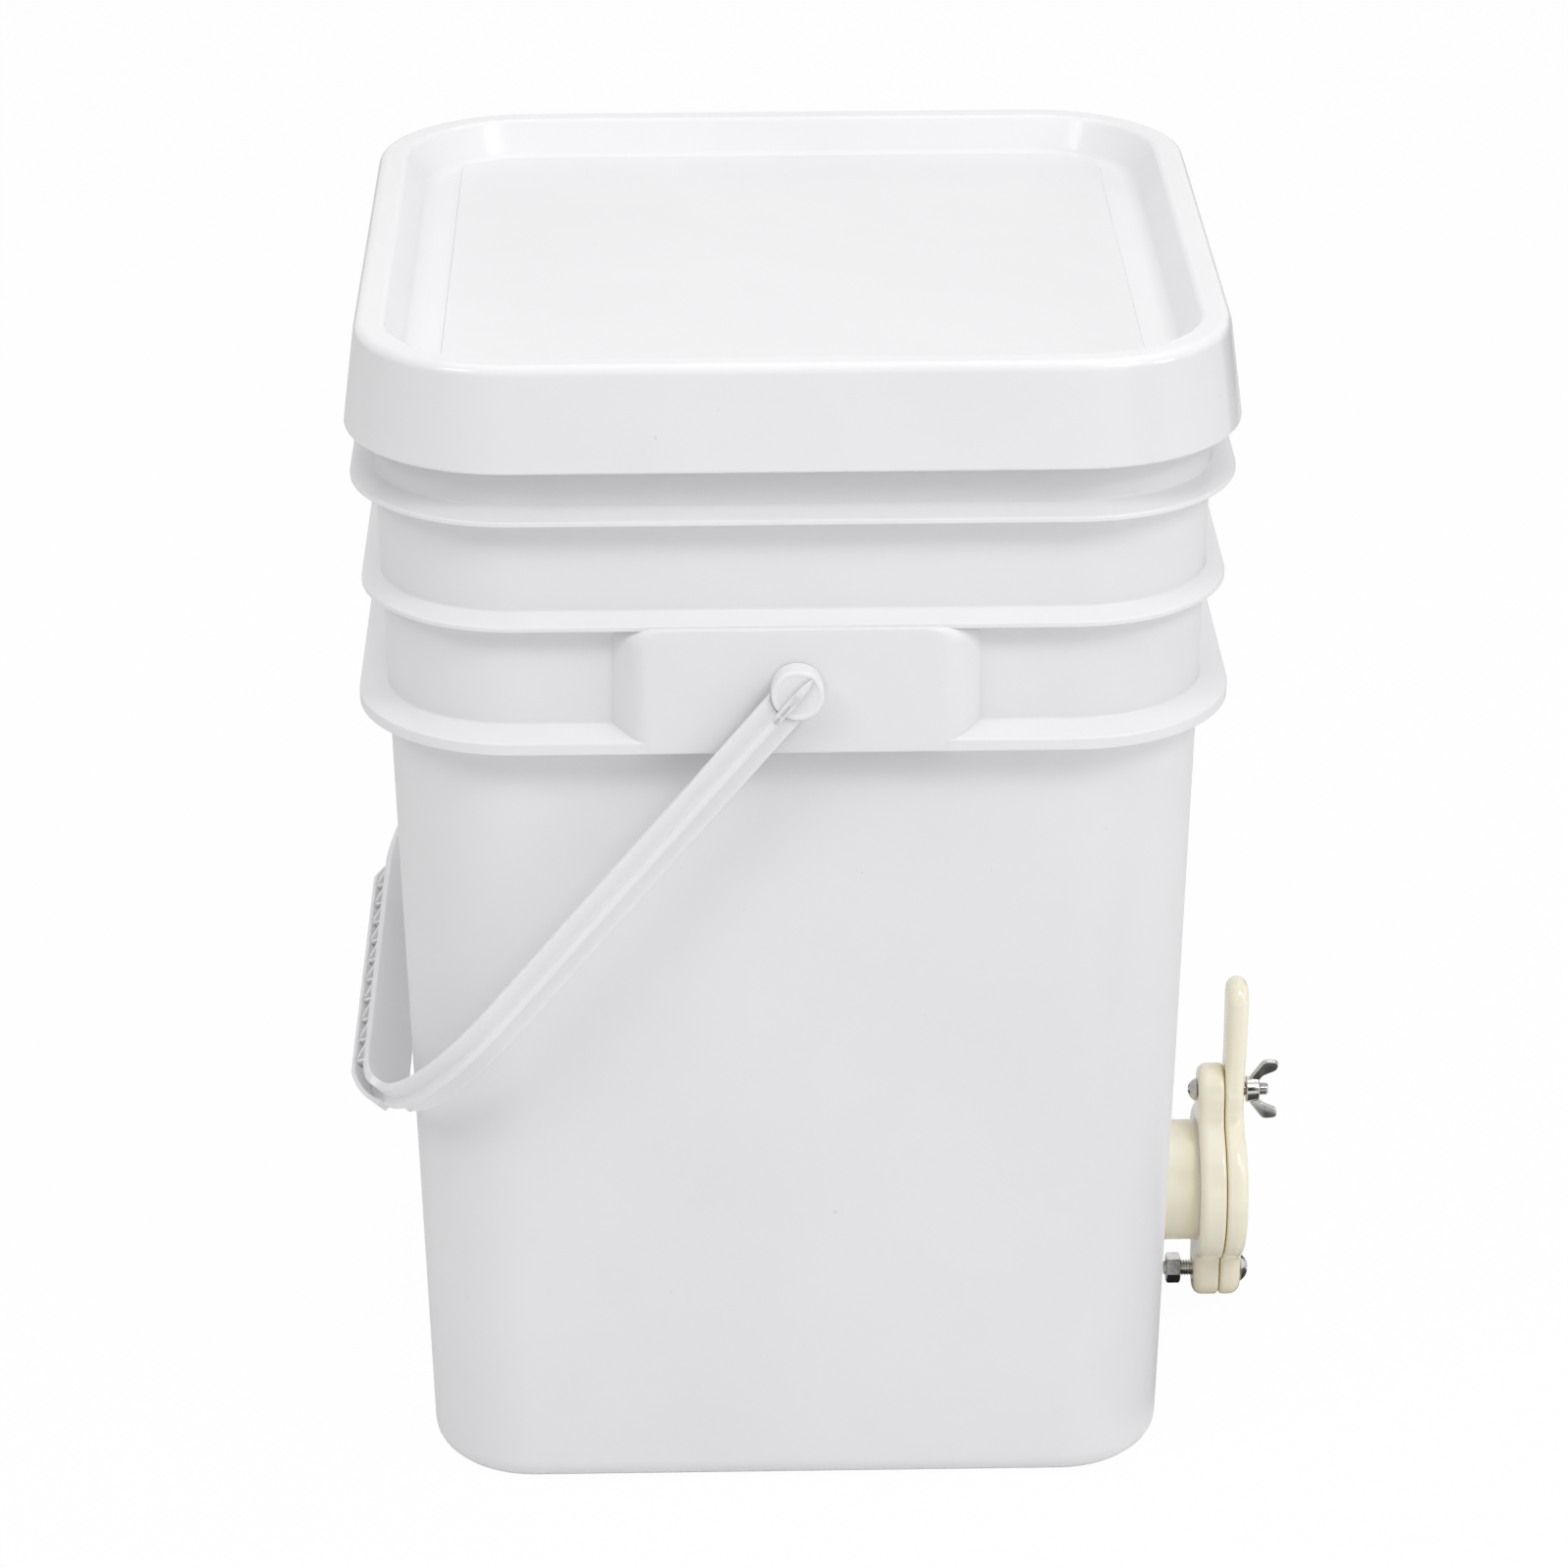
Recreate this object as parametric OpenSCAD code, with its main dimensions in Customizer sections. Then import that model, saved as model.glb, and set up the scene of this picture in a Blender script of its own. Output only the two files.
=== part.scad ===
// Square honey bucket with a lift-off lid, a swinging bail and an outlet gate with a swinging plate.
// Frame: origin at the middle of the base, +Z up. The gate is on the +X wall, the bail's ears on the Y walls.
// Sizes are in millimetres and degrees.

/* [Tub] */
// Width of the tub at its base
base_w = 260; // [246:1:270]
// Radius of the upright corners at the base
base_corner_r = 37; // [32:1:42]
// Height of the rim above the base
tub_h = 420; // [412:1:450]
// Lean of each wall from the upright
wall_lean = 1.6; // [1.2:0.1:2]
// Thickness of the walls
wall_t = 2.4; // [2:0.1:3]
// Thickness of the floor
floor_t = 3; // [2.5:0.1:5]
// Rounding of the edge round the base
base_edge_r = 8; // [5:0.5:11]
// Rounding of the corner between floor and wall, inside
inner_edge_r = 6; // [4:0.5:9]
// Overhang of the rim bead past the wall
rim_reach = 1.4; // [1:0.1:2.4]
// Depth of the rim bead
rim_h = 8; // [6:0.5:10]
// Margin of the gate's flat pad round its lock nut
pad_margin = 1; // [0.5:0.1:3]

/* [Ribs and ears] */
// Distance from the rim down to the top rib
top_rib_z = 48; // [42:1:58]
// Distance from the rim down to the middle rib
mid_rib_z = 86; // [78:1:92]
// Distance from the rim down to the low rib
low_rib_z = 128; // [122:1:136]
// Reach of the top rib past the wall
top_rib_reach = 8.4; // [5:0.1:9]
// Reach of the middle rib past the wall
mid_rib_reach = 6.8; // [4:0.1:8]
// Reach of the low rib past the wall
low_rib_reach = 10; // [8:0.1:11]
// Thickness of the edge of the top and middle ribs
rib_edge_t = 1.8; // [1.2:0.1:3]
// Thickness of the edge of the low rib
low_rib_edge_t = 4.2; // [2:0.1:6]
// Rise of a rib's sloping top from its edge to the wall
rib_rise = 3.2; // [1:0.1:6]
// Width of an ear's flat face
ear_face_w = 106; // [80:1:120]
// Spread of an ear's sides from its face to the wall
ear_spread = 9; // [4:0.5:14]
// Reach of an ear's face past the wall at the low rib
ear_reach = 10.1; // [8:0.1:10.4]
// Thickness of an ear's plates
ear_t = 2.6; // [2:0.1:3]

/* [Lid] */
// Depth of the lid's skirt
lid_skirt_h = 35.6; // [26:0.2:44]
// Outward lean of the skirt from top to bottom
lid_flare = 4.6; // [3:0.1:5]
// Thickness of the lid
lid_t = 2.2; // [1.8:0.1:2.6]
// Rounding of the lid's outer top edge
lid_edge_r = 4; // [3:0.5:6]
// Width of the raised rim round the lid's recess
lid_rim_w = 9.5; // [8:0.5:14]
// Run of the recess's sloping wall, from its top edge to its foot
recess_run = 8.5; // [4:0.5:10]
// Rounding of the recess's top edge
recess_edge_r = 1.2; // [0.6:0.1:2]
// Rounding at the foot of the recess's wall
recess_foot_r = 3; // [1:0.5:5]
// Depth of the recess in the lid
lid_recess = 13; // [8:0.5:20]
// Rise of the strip across the recess above the gutters on its two sides
panel_rise = 0.8; // [0.4:0.1:2]
// Width of those gutters
panel_inset = 10.5; // [7:0.5:16]
// Thickness of the lid's sealing ring
lid_gasket_t = 2.9; // [2:0.1:4]
// Height of the bead inside the skirt that snaps under the rim
lid_bead_h = 4; // [2:0.5:5]

/* [Bail] */
// Distance from the rim down to the bail's pivots
pivot_z = 106; // [102:1:110]
// Radius of the bail's two bends
bail_bend_r = 72; // [60:1:84]
// Angle at which the bail hangs against the tub, below the level
bail_rest = 50; // [44:0.5:54]
// Width of the strap in the arms
strap_w = 14; // [10:0.5:14.5]
// Thickness of the strap
strap_t = 3; // [2.4:0.1:3.6]
// Height of the strap's stiffening ridge
ridge_h = 3; // [2:0.1:4]
// Thickness of the strap's stiffening ridge
ridge_t = 2.6; // [2:0.1:4]
// Width of the grip
grip_w = 19; // [15:1:24]
// Depth of the grip from the strap's outer face to the far face of its outer band
grip_depth = 7; // [6:0.1:9]
// Thickness of the grip's outer band
grip_band_t = 1.8; // [1.4:0.1:2.6]
// Thickness of the slanted ribs between the strap and the outer band
grip_rib_t = 1.4; // [1:0.1:2.2]
// How far the slanted ribs stay inside the grip's edges
grip_rib_inset = 0.8; // [0:0.1:2]
// Count of slanted ribs along the grip's straight stretch
grip_rib_count = 20; // [8:2:26]
// Radius of the curves that bring the outer band back to the ridge
grip_end_r = 50; // [40:1:58]
// Angle of each bend that the wide strap reaches into
grip_arc = 22; // [10:1:32]
// Diameter of the pivot bosses
boss_d = 17; // [15:0.5:20]
// Diameter of the pivot pins
pin_d = 9.8; // [7:0.1:11]
// Length of the snap head on a pivot pin
pin_head_h = 2.8; // [2:0.1:3.4]
// Overhang of the snap head past its pin
pin_head_lip = 1.2; // [0.6:0.1:1.6]
// Width of the slot that splits a pivot pin
pin_slot_w = 2; // [1.2:0.1:3]

/* [Gate] */
// Height of the outlet's axis above the base
gate_z = 51; // [50.5:0.5:60]
// Diameter of the outlet
outlet_d = 34; // [24:0.5:35]
// Outer diameter of the thread that passes through the wall
spigot_d = 41; // [39:0.5:42]
// Pitch of that thread
spigot_pitch = 3; // [2:0.5:4]
// Length of that thread past the lock nut
spigot_past = 4; // [2:0.5:8]
// Outer diameter of the barrel outside the wall
barrel_d = 45; // [43:0.5:50]
// Distance from the barrel's seat on the wall to the flange
barrel_len = 19.5; // [16:0.5:26]
// Diameter of the flange and of the closing plate
flange_d = 60; // [54:1:62]
// Thickness of the flange
flange_t = 9.5; // [7:0.5:12]
// Thickness of the closing plate and its lever
plate_t = 8; // [6:0.5:10]
// Distance from the outlet's axis to each screw
screw_offset = 37.6; // [36:0.2:39]
// Radius of the lugs round the screws
lug_r = 10; // [9:0.5:11]
// Height of the lever's tip above the outlet's axis
lever_top = 83.5; // [76:0.5:95]
// Width of the lever
lever_w = 17; // [14:0.5:19]
// Thickness of the sealing ring inside the wall
gate_gasket_t = 3; // [2:0.2:5]
// Thickness of the lock nut inside the wall
lock_nut_t = 10; // [7:0.5:14]
// Width of the lock nut across its flats
lock_nut_w = 56; // [52:1:58]

/* [Screws] */
// Pitch of the screws' threads
thread_pitch = 1; // [0.8:0.1:1.2]
// Diameter of the clamp screw
clamp_d = 5; // [4:0.5:5.5]
// Diameter of the clamp screw's head
clamp_head_d = 8.5; // [7.5:0.5:10]
// Height of the clamp screw's head
clamp_head_h = 3.3; // [2.4:0.1:4]
// Length of the clamp screw past the closing plate
clamp_past = 8.7; // [6:0.1:14]
// Diameter of the pivot screw
pivot_d = 6; // [5:0.5:7]
// Diameter of the pivot screw's head
pivot_head_d = 10.5; // [9:0.5:13]
// Height of the pivot screw's head
pivot_head_h = 3.2; // [2.4:0.1:4]
// Gap between the pivot nut and the flange
pivot_nut_gap = 4.6; // [1:0.1:5]
// Width of the pivot nut across its flats
pivot_nut_w = 10; // [9:0.5:12]
// Thickness of the pivot nut
pivot_nut_t = 5.2; // [4:0.2:6]
// Span of the wing nut's wings
wing_span = 26; // [22:1:30]
// Thickness of the wings
wing_t = 2; // [1.4:0.1:2.6]
// Radius of the wings' round tips
wing_tip_r = 3.6; // [2.6:0.1:4.4]
// Height of the middle of the wings' tips above the nut's seat
wing_rise = 9.2; // [7:0.1:12]
// Diameter of the wing nut's hub at its seat
wing_hub_d = 10; // [9:0.1:12]
// Diameter of the wing nut's hub at its top
wing_hub_top_d = 8.4; // [7.6:0.1:9]
// Height of the wing nut's hub
wing_hub_h = 5; // [4:0.1:7]

/* [Clearances] */
// Radial clearance of a pin or screw that turns in its hole
run_clear = 0.08; // [0.03:0.01:0.1]
// Gap between pieces that move past each other
slide_clear = 0.3; // [0.2:0.05:0.5]
// Gap between the lid's skirt and the rim bead
lid_clear = 0.6; // [0.4:0.1:1]
// Gap between the bail's arms and the lid's skirt
bail_clear = 2; // [1:0.1:3]
// Gap between the hanging bail's grip and the tub's wall
bail_gap = 2.4; // [0.5:0.1:6]

/* [Hidden] */
$fn = 96;
overlap = 1;
arc_steps = 6;
// Depth of a thread as a share of its pitch
thread_share = 0.55;
// Straight sides run just inside the round that they end in, so that no two faces only touch.
tangent_share = 0.99;

// Corner centres of every rounded square lie at (+-corner, +-corner), so a profile's first coordinate
// is the distance from a corner's centre.
corner = base_w/2 - base_corner_r;
function wall_r(z) = base_corner_r + z*tan(wall_lean);
function wall_half(z) = corner + wall_r(z);

rim_r = wall_r(tub_h) + rim_reach;
top_rib = tub_h - top_rib_z;
mid_rib = tub_h - mid_rib_z;
low_rib = tub_h - low_rib_z;
pivot_h = tub_h - pivot_z;
ribs = [
    [low_rib, low_rib_reach, low_rib_edge_t],
    [mid_rib, mid_rib_reach, rib_edge_t],
    [top_rib, top_rib_reach, rib_edge_t]
];

lid_ceiling = tub_h + slide_clear + lid_gasket_t;
lid_top = lid_ceiling + lid_t;
lid_foot = lid_top - lid_skirt_h;
lid_floor = lid_top - lid_recess;
skirt_slope = lid_flare/(lid_skirt_h - lid_edge_r);
// Inner face of the skirt, set by the rim bead at its top edge
function skirt_in_r(z) = rim_r + lid_clear + (tub_h - z)*skirt_slope;
function skirt_out_r(z) = skirt_in_r(z) + lid_t;
lid_top_r = skirt_out_r(lid_top - lid_edge_r);
recess_top_r = lid_top_r - lid_rim_w;
recess_r = recess_top_r - recess_run;
recess_slope = atan(lid_recess/recess_run);
// Under side of the recess's wall where it meets the lid's ceiling
recess_back_r = recess_r + (lid_recess - lid_t)/tan(recess_slope) + lid_t/sin(recess_slope);
bead_z = tub_h - rim_h - lid_bead_h/2 - slide_clear;

ear_face = wall_half(low_rib) + ear_reach;
ear_foot = low_rib - low_rib_edge_t/2;
ear_top = mid_rib + rib_edge_t/2;
pin_hole_r = pin_d/2 + run_clear;

// The bail is drawn flat, its pivots on the Y axis and its strap reaching along +X, then swung to its rest.
bail_in = corner + skirt_out_r(lid_foot) + bail_clear;
bail_out = bail_in + strap_t;
boss_in = ear_face + slide_clear;
boss_out = bail_out + ridge_h/2;
bend_y = bail_out - bail_bend_r;
// Hanging, the grip's lower inner edge stays bail_gap away from the leaning wall.
grip_edge = grip_w/2;
hang_far = corner + wall_r(pivot_h) + bail_gap + grip_edge*(sin(bail_rest) - cos(bail_rest)*tan(wall_lean));
bail_reach = hang_far/(cos(bail_rest) + sin(bail_rest)*tan(wall_lean)) + strap_t;
bend_x = bail_reach - bail_bend_r;
// The outer band's end curves are centred this far from the bends' centres, and end at the ridge.
band_shift = bail_bend_r + grip_depth - grip_end_r;
band_mid = grip_end_r - grip_band_t/2;
ridge_top = bail_bend_r + ridge_h - 1;
band_turn = (band_shift*band_shift + band_mid*band_mid - ridge_top*ridge_top)/(2*band_shift*band_mid);
band_arc = 180 - acos(band_turn);

// The wall carries a flat round pad, so that the gate's barrel and its sealing ring bear on upright faces.
pad_r = lock_nut_w/2/cos(30) + pad_margin;
pad_out = wall_half(gate_z + pad_r) + slide_clear;
pad_in = wall_half(gate_z - pad_r) - wall_t - slide_clear;
flange_x = pad_out + barrel_len;
plate_x = flange_x + flange_t + slide_clear;
plate_face = plate_x + plate_t;
clamp_z = gate_z + screw_offset;
pin_z = gate_z - screw_offset;
lock_nut_x = pad_in - gate_gasket_t - lock_nut_t;
spigot_end = lock_nut_x - spigot_past;
pivot_nut_x = flange_x - pivot_nut_gap - pivot_nut_t;
slot_r = clamp_d/2 + slide_clear;

function arc(cx, cy, r, from, to) =
    [for (i = [0:arc_steps]) let (a = from + (to - from)*i/arc_steps) [cx + r*cos(a), cy + r*sin(a)]];

// Sweeps a profile round a rounded square whose corners are centred at (+-c, +-c)
module swept(c) {
    for (a = [0:90:270]) rotate([0, 0, a]) {
        translate([c, 0, 0]) rotate([90, 0, 0]) linear_extrude(2*c, center = true) children();
        translate([c, c, 0]) rotate_extrude(angle = 90) children();
    }
}

// Turns a shape drawn along +Z so that it lies along +X at height z
module along_x(x, z) {
    translate([x, 0, z]) rotate([0, 90, 0]) children();
}

// The outline of ring ridges that stand for a thread, from 0 along the second coordinate
function thread_edge(d, pitch, length) = let (turns = floor(length/pitch), root = d/2 - thread_share*pitch)
    concat([for (i = [0:turns - 1]) each [[root, i*pitch], [d/2, (i + 0.5)*pitch]]], [[root, turns*pitch]]);

// A screw with a domed, cross-slotted head, its tip at 0 and its head towards +Z
module screw(d, threaded, grip, head_d, head_h) {
    head_z = threaded + grip;
    dome_r = (head_h*head_h + head_d*head_d/4)/(2*head_h);
    dome_z = head_z + head_h - dome_r;
    difference() {
        rotate_extrude() polygon(concat(
            [[0, 0]],
            thread_edge(d, thread_pitch, threaded),
            [[d/2, threaded], [d/2, head_z]],
            arc(0, dome_z, dome_r, asin((head_z - dome_z)/dome_r), 90)
        ));
        for (a = [0, 90]) translate([0, 0, head_z + head_h]) rotate([0, 0, a])
            cube([head_d/2, head_d/9, head_h], center = true);
    }
}

// The wall, floor edge, ribs and rim in section
module tub_section() {
    e = base_edge_r;
    f = inner_edge_r;
    inner_foot = wall_r(floor_t + f) - wall_t;
    polygon(concat(
        [[0, 0]],
        arc(wall_r(e) - e, e, e, -90, 0),
        [for (b = ribs) each [
            [wall_r(b[0] - b[2]/2), b[0] - b[2]/2],
            [wall_r(b[0]) + b[1], b[0] - b[2]/2],
            [wall_r(b[0]) + b[1], b[0] + b[2]/2],
            [wall_r(b[0] + b[2]/2 + rib_rise), b[0] + b[2]/2 + rib_rise]
        ]],
        [
            [wall_r(tub_h - rim_h), tub_h - rim_h],
            [rim_r, tub_h - rim_h + rim_reach],
            [rim_r, tub_h - rim_reach],
            [rim_r - rim_reach, tub_h],
            [wall_r(tub_h) - wall_t, tub_h]
        ],
        arc(inner_foot - f, floor_t + f, f, 0, -90),
        [[0, floor_t]]
    ));
}

// One ear on the -Y wall, as a solid block with slanted sides
module ear_block() {
    back = wall_half(low_rib) - overlap;
    half = ear_face_w/2;
    foot = half + ear_spread;
    translate([0, 0, ear_foot]) linear_extrude(ear_top - ear_foot)
        polygon([[-foot, -back], [-half, -ear_face], [half, -ear_face], [foot, -back]]);
}

// The hollow in that ear, open below, and the hole for the bail's pin
module ear_hollow() {
    half = ear_face_w/2 - ear_t;
    depth = ear_face - ear_t - wall_half(ear_top);
    translate([-half, -ear_face + ear_t, ear_foot - overlap])
        cube([2*half, depth, ear_top - ear_t - ear_foot + overlap]);
    translate([0, -ear_face - overlap, pivot_h])
        rotate([-90, 0, 0]) cylinder(r = pin_hole_r, h = ear_t + 2*overlap);
}

module bucket_body() {
    color("white") difference() {
        union() {
            swept(corner) tub_section();
            translate([-corner, -corner, 0]) cube([2*corner, 2*corner, floor_t]);
            for (a = [0, 180]) rotate([0, 0, a]) ear_block();
            along_x(pad_in, gate_z) cylinder(r = pad_r, h = pad_out - pad_in);
        }
        for (a = [0, 180]) rotate([0, 0, a]) ear_hollow();
        along_x(pad_in - overlap, gate_z)
            cylinder(r = spigot_d/2 + slide_clear, h = pad_out - pad_in + 2*overlap);
    }
}

// The lid's rim, recess wall and skirt in section
module lid_section() {
    e = lid_edge_r;
    g = lid_t/2;
    bend = tan(recess_slope/2);
    foot_r = skirt_out_r(lid_foot + g);
    polygon(concat(
        [[0, lid_floor]],
        arc(recess_r - recess_foot_r*bend, lid_floor + recess_foot_r, recess_foot_r, -90, recess_slope - 90),
        arc(recess_top_r + recess_edge_r*bend, lid_top - recess_edge_r, recess_edge_r, 90 + recess_slope, 90),
        arc(lid_top_r - e, lid_top - e, e, 90, 0),
        arc(foot_r - g, lid_foot + g, g, 0, -180),
        [
            [skirt_in_r(bead_z - lid_bead_h/2), bead_z - lid_bead_h/2],
            [rim_r + lid_clear, bead_z],
            [skirt_in_r(bead_z + lid_bead_h/2), bead_z + lid_bead_h/2],
            [skirt_in_r(tub_h), tub_h],
            [rim_r + lid_clear, lid_ceiling],
            [recess_back_r, lid_ceiling],
            [recess_r + lid_t*bend, lid_floor - lid_t],
            [0, lid_floor - lid_t]
        ]
    ));
}

// The raised strip of the recess, from its front wall to its back wall
module lid_panel() {
    half = corner + recess_r - panel_inset;
    wall_r = recess_r + lid_t/2;
    intersection() {
        translate([-half, -corner - wall_r, lid_floor - lid_t/2])
            cube([2*half, 2*(corner + wall_r), lid_t/2 + panel_rise]);
        union() {
            swept(corner) translate([0, lid_floor - lid_t]) square([wall_r, 2*lid_t]);
            translate([-corner, -corner, lid_floor - lid_t]) cube([2*corner, 2*corner, 2*lid_t]);
        }
    }
}

module lid() {
    color("white") union() {
        swept(corner) lid_section();
        translate([-corner, -corner, lid_floor - lid_t]) cube([2*corner, 2*corner, lid_t]);
        lid_panel();
    }
}

module lid_gasket() {
    inner = max(wall_r(tub_h) - wall_t, recess_back_r);
    color("gainsboro") swept(corner)
        translate([inner, lid_ceiling - lid_gasket_t]) square([rim_r - inner, lid_gasket_t]);
}

// The strap and its ridge in section, drawn at the bend's radius
module strap_section(w, ridge) {
    translate([bail_bend_r - strap_t, -w/2]) square([strap_t, w]);
    translate([bail_bend_r - strap_t/2, -ridge_t/2]) square([strap_t/2 + ridge, ridge_t]);
}

// Slanted ribs between the strap and the grip's outer band, a zigzag along the straight stretch
module grip_ribs() {
    pitch = 2*bend_y/grip_rib_count;
    inner = bail_reach - strap_t/2;
    outer = bail_reach + grip_depth - grip_band_t/2;
    half = grip_rib_t/2*norm([pitch, outer - inner])/(outer - inner);
    for (i = [0:grip_rib_count - 1]) {
        from = -bend_y + (i%2 == 0 ? i : i + 1)*pitch;
        to = -bend_y + (i%2 == 0 ? i + 1 : i)*pitch;
        linear_extrude(grip_w - 2*grip_rib_inset, center = true)
            polygon([[inner, from - half], [outer, to - half], [outer, to + half], [inner, from + half]]);
    }
}

// The grip's outer band in section, its inner face at x
module band_section(x) {
    translate([x, -grip_w/2]) square([grip_band_t, grip_w]);
}

// The +Y end of the grip round the bend's centre: web and band curve in to the ridge, and the band narrows
module grip_end() {
    far_y = grip_end_r*sin(band_arc);
    linear_extrude(ridge_t, center = true) difference() {
        translate([band_shift, 0]) intersection() {
            circle(grip_end_r - grip_band_t/2);
            translate([0, -overlap]) square([grip_end_r, far_y]);
        }
        circle(bail_bend_r - strap_t/2);
    }
    intersection() {
        translate([band_shift, 0, 0]) rotate_extrude(angle = band_arc) band_section(grip_end_r - grip_band_t);
        translate([bail_bend_r - strap_t, 0, 0]) rotate([90, 0, 90])
            linear_extrude(grip_depth + strap_t + overlap) polygon([
                [-overlap, -grip_w/2], [far_y + overlap, -ridge_t/2],
                [far_y + overlap, ridge_t/2], [-overlap, grip_w/2]
            ]);
    }
}

// A pivot boss on the +Y arm, its pin and the split head that snaps in behind the ear's plate
module pivot_boss() {
    plate_in = ear_face - ear_t;
    head_y = plate_in - slide_clear;
    head_end = head_y - pin_head_h;
    rotate([-90, 0, 0]) difference() {
        union() {
            translate([0, 0, boss_in]) cylinder(d = boss_d, h = boss_out - boss_in);
            translate([0, 0, head_y - overlap]) cylinder(d = pin_d, h = boss_in - head_y + 2*overlap);
            translate([0, 0, head_end])
                cylinder(d1 = pin_d - pin_head_lip, d2 = pin_d + 2*pin_head_lip, h = pin_head_h);
        }
        translate([-pin_slot_w/2, -boss_d/2, head_end - overlap])
            cube([pin_slot_w, boss_d, pin_head_h + ear_t + overlap]);
    }
}

// Half of the bail on the +Y side
module bail_half() {
    translate([0, bend_y, 0]) rotate([90, 0, 90]) linear_extrude(bend_x) strap_section(strap_w, ridge_h);
    translate([bend_x, bend_y, 0]) {
        rotate([0, 0, grip_arc - overlap]) rotate_extrude(angle = 90 - grip_arc + overlap)
            strap_section(strap_w, ridge_h);
        rotate_extrude(angle = grip_arc) strap_section(grip_w, ridge_h);
        grip_end();
    }
    pivot_boss();
}

module bail_handle() {
    color("white") translate([0, 0, pivot_h]) rotate([0, 180 - bail_rest, 0]) union() {
        bail_half();
        mirror([0, 1, 0]) bail_half();
        translate([bend_x, 0, 0]) rotate([90, 0, 0]) linear_extrude(2*bend_y, center = true) {
            strap_section(grip_w, grip_depth - grip_band_t/2);
            band_section(bail_bend_r + grip_depth - grip_band_t);
        }
        grip_ribs();
    }
}

// The round flange with a lug for each screw, along +Z from 0; the lugs lie along +X and -X
module lugged_disc(t) {
    cylinder(d = flange_d, h = t);
    for (side = [-1, 1]) {
        translate([side*screw_offset, 0, 0]) cylinder(r = lug_r, h = t);
        translate([side*screw_offset/2, 0, t/2])
            cube([screw_offset, 2*lug_r*tangent_share, t], center = true);
    }
}

module gate_body() {
    shank = pad_out - spigot_end;
    color("cornsilk") difference() {
        union() {
            along_x(flange_x, gate_z) lugged_disc(flange_t);
            along_x(pad_out, gate_z) cylinder(d = barrel_d, h = barrel_len + overlap);
            along_x(spigot_end, gate_z) rotate_extrude() polygon(concat(
                [[0, 0]],
                thread_edge(spigot_d, spigot_pitch, shank),
                [[spigot_d/2, shank], [spigot_d/2, shank + overlap], [0, shank + overlap]]
            ));
        }
        along_x(spigot_end - overlap, gate_z)
            cylinder(d = outlet_d, h = plate_x - spigot_end + 2*overlap);
        along_x(flange_x - overlap, clamp_z) cylinder(r = clamp_d/2 + run_clear, h = flange_t + 2*overlap);
        along_x(flange_x - overlap, pin_z) cylinder(r = pivot_d/2 + run_clear, h = flange_t + 2*overlap);
    }
}

module gate_gasket() {
    color("dimgray") along_x(pad_in - gate_gasket_t, gate_z) difference() {
        cylinder(d = lock_nut_w, h = gate_gasket_t);
        translate([0, 0, -overlap]) cylinder(r = spigot_d/2 + run_clear, h = gate_gasket_t + 2*overlap);
    }
}

module gate_lock_nut() {
    color("cornsilk") along_x(lock_nut_x, gate_z) difference() {
        rotate([0, 0, 30]) cylinder(r = lock_nut_w/2/cos(30), h = lock_nut_t, $fn = 6);
        translate([0, 0, -overlap]) cylinder(r = spigot_d/2 + run_clear, h = lock_nut_t + 2*overlap);
    }
}

// The closing plate: its slot is an arc about the pivot screw, open on the +Y side
module gate_plate() {
    slot_reach = 2*screw_offset;
    slot_angle = 2*asin((lug_r + overlap)/slot_reach);
    color("cornsilk") difference() {
        union() {
            along_x(plate_x, gate_z) lugged_disc(plate_t);
            translate([plate_x, -lever_w*tangent_share/2, gate_z])
                cube([plate_t, lever_w*tangent_share, lever_top - lever_w/2]);
            along_x(plate_x, gate_z + lever_top - lever_w/2) cylinder(d = lever_w, h = plate_t);
        }
        along_x(plate_x - overlap, pin_z) {
            cylinder(r = pivot_d/2 + run_clear, h = plate_t + 2*overlap);
            translate([-slot_reach, 0, 0]) cylinder(r = slot_r, h = plate_t + 2*overlap);
            rotate([0, 0, 180 - slot_angle]) rotate_extrude(angle = slot_angle)
                translate([slot_reach - slot_r, 0]) square([2*slot_r, plate_t + 2*overlap]);
        }
    }
}

module clamp_screw() {
    head_x = flange_x - slide_clear;
    tip_x = plate_face + clamp_past;
    color("silver") translate([tip_x, 0, clamp_z]) rotate([0, -90, 0])
        screw(clamp_d, tip_x - plate_x, plate_x - head_x, clamp_head_d, clamp_head_h);
}

module wing_nut() {
    foot = wing_hub_h/8;
    tip_x = wing_span/2 - wing_tip_r;
    color("silver") along_x(plate_face + slide_clear, clamp_z) difference() {
        union() {
            cylinder(d1 = wing_hub_d, d2 = wing_hub_top_d, h = wing_hub_h);
            for (a = [0, 180]) rotate([90, 0, a]) linear_extrude(wing_t, center = true) {
                polygon(concat(
                    [[0, wing_hub_h], [0, foot], [wing_hub_d/2 - foot, foot]],
                    arc(tip_x, wing_rise, wing_tip_r, -40, 130)
                ));
                translate([tip_x, wing_rise]) circle(r = wing_tip_r);
            }
        }
        translate([0, 0, -overlap])
            cylinder(r = clamp_d/2 + run_clear, h = wing_rise + wing_tip_r + 2*overlap);
    }
}

module pivot_screw() {
    head_x = plate_face + slide_clear;
    tip_x = pivot_nut_x - thread_pitch;
    bare = flange_x + flange_t/2;
    color("silver") along_x(tip_x, pin_z)
        screw(pivot_d, bare - tip_x, head_x - bare, pivot_head_d, pivot_head_h);
}

module pivot_nut() {
    color("silver") along_x(pivot_nut_x, pin_z) difference() {
        cylinder(r = pivot_nut_w/2/cos(30), h = pivot_nut_t, $fn = 6);
        translate([0, 0, -overlap]) cylinder(r = pivot_d/2 + run_clear, h = pivot_nut_t + 2*overlap);
    }
}

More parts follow.
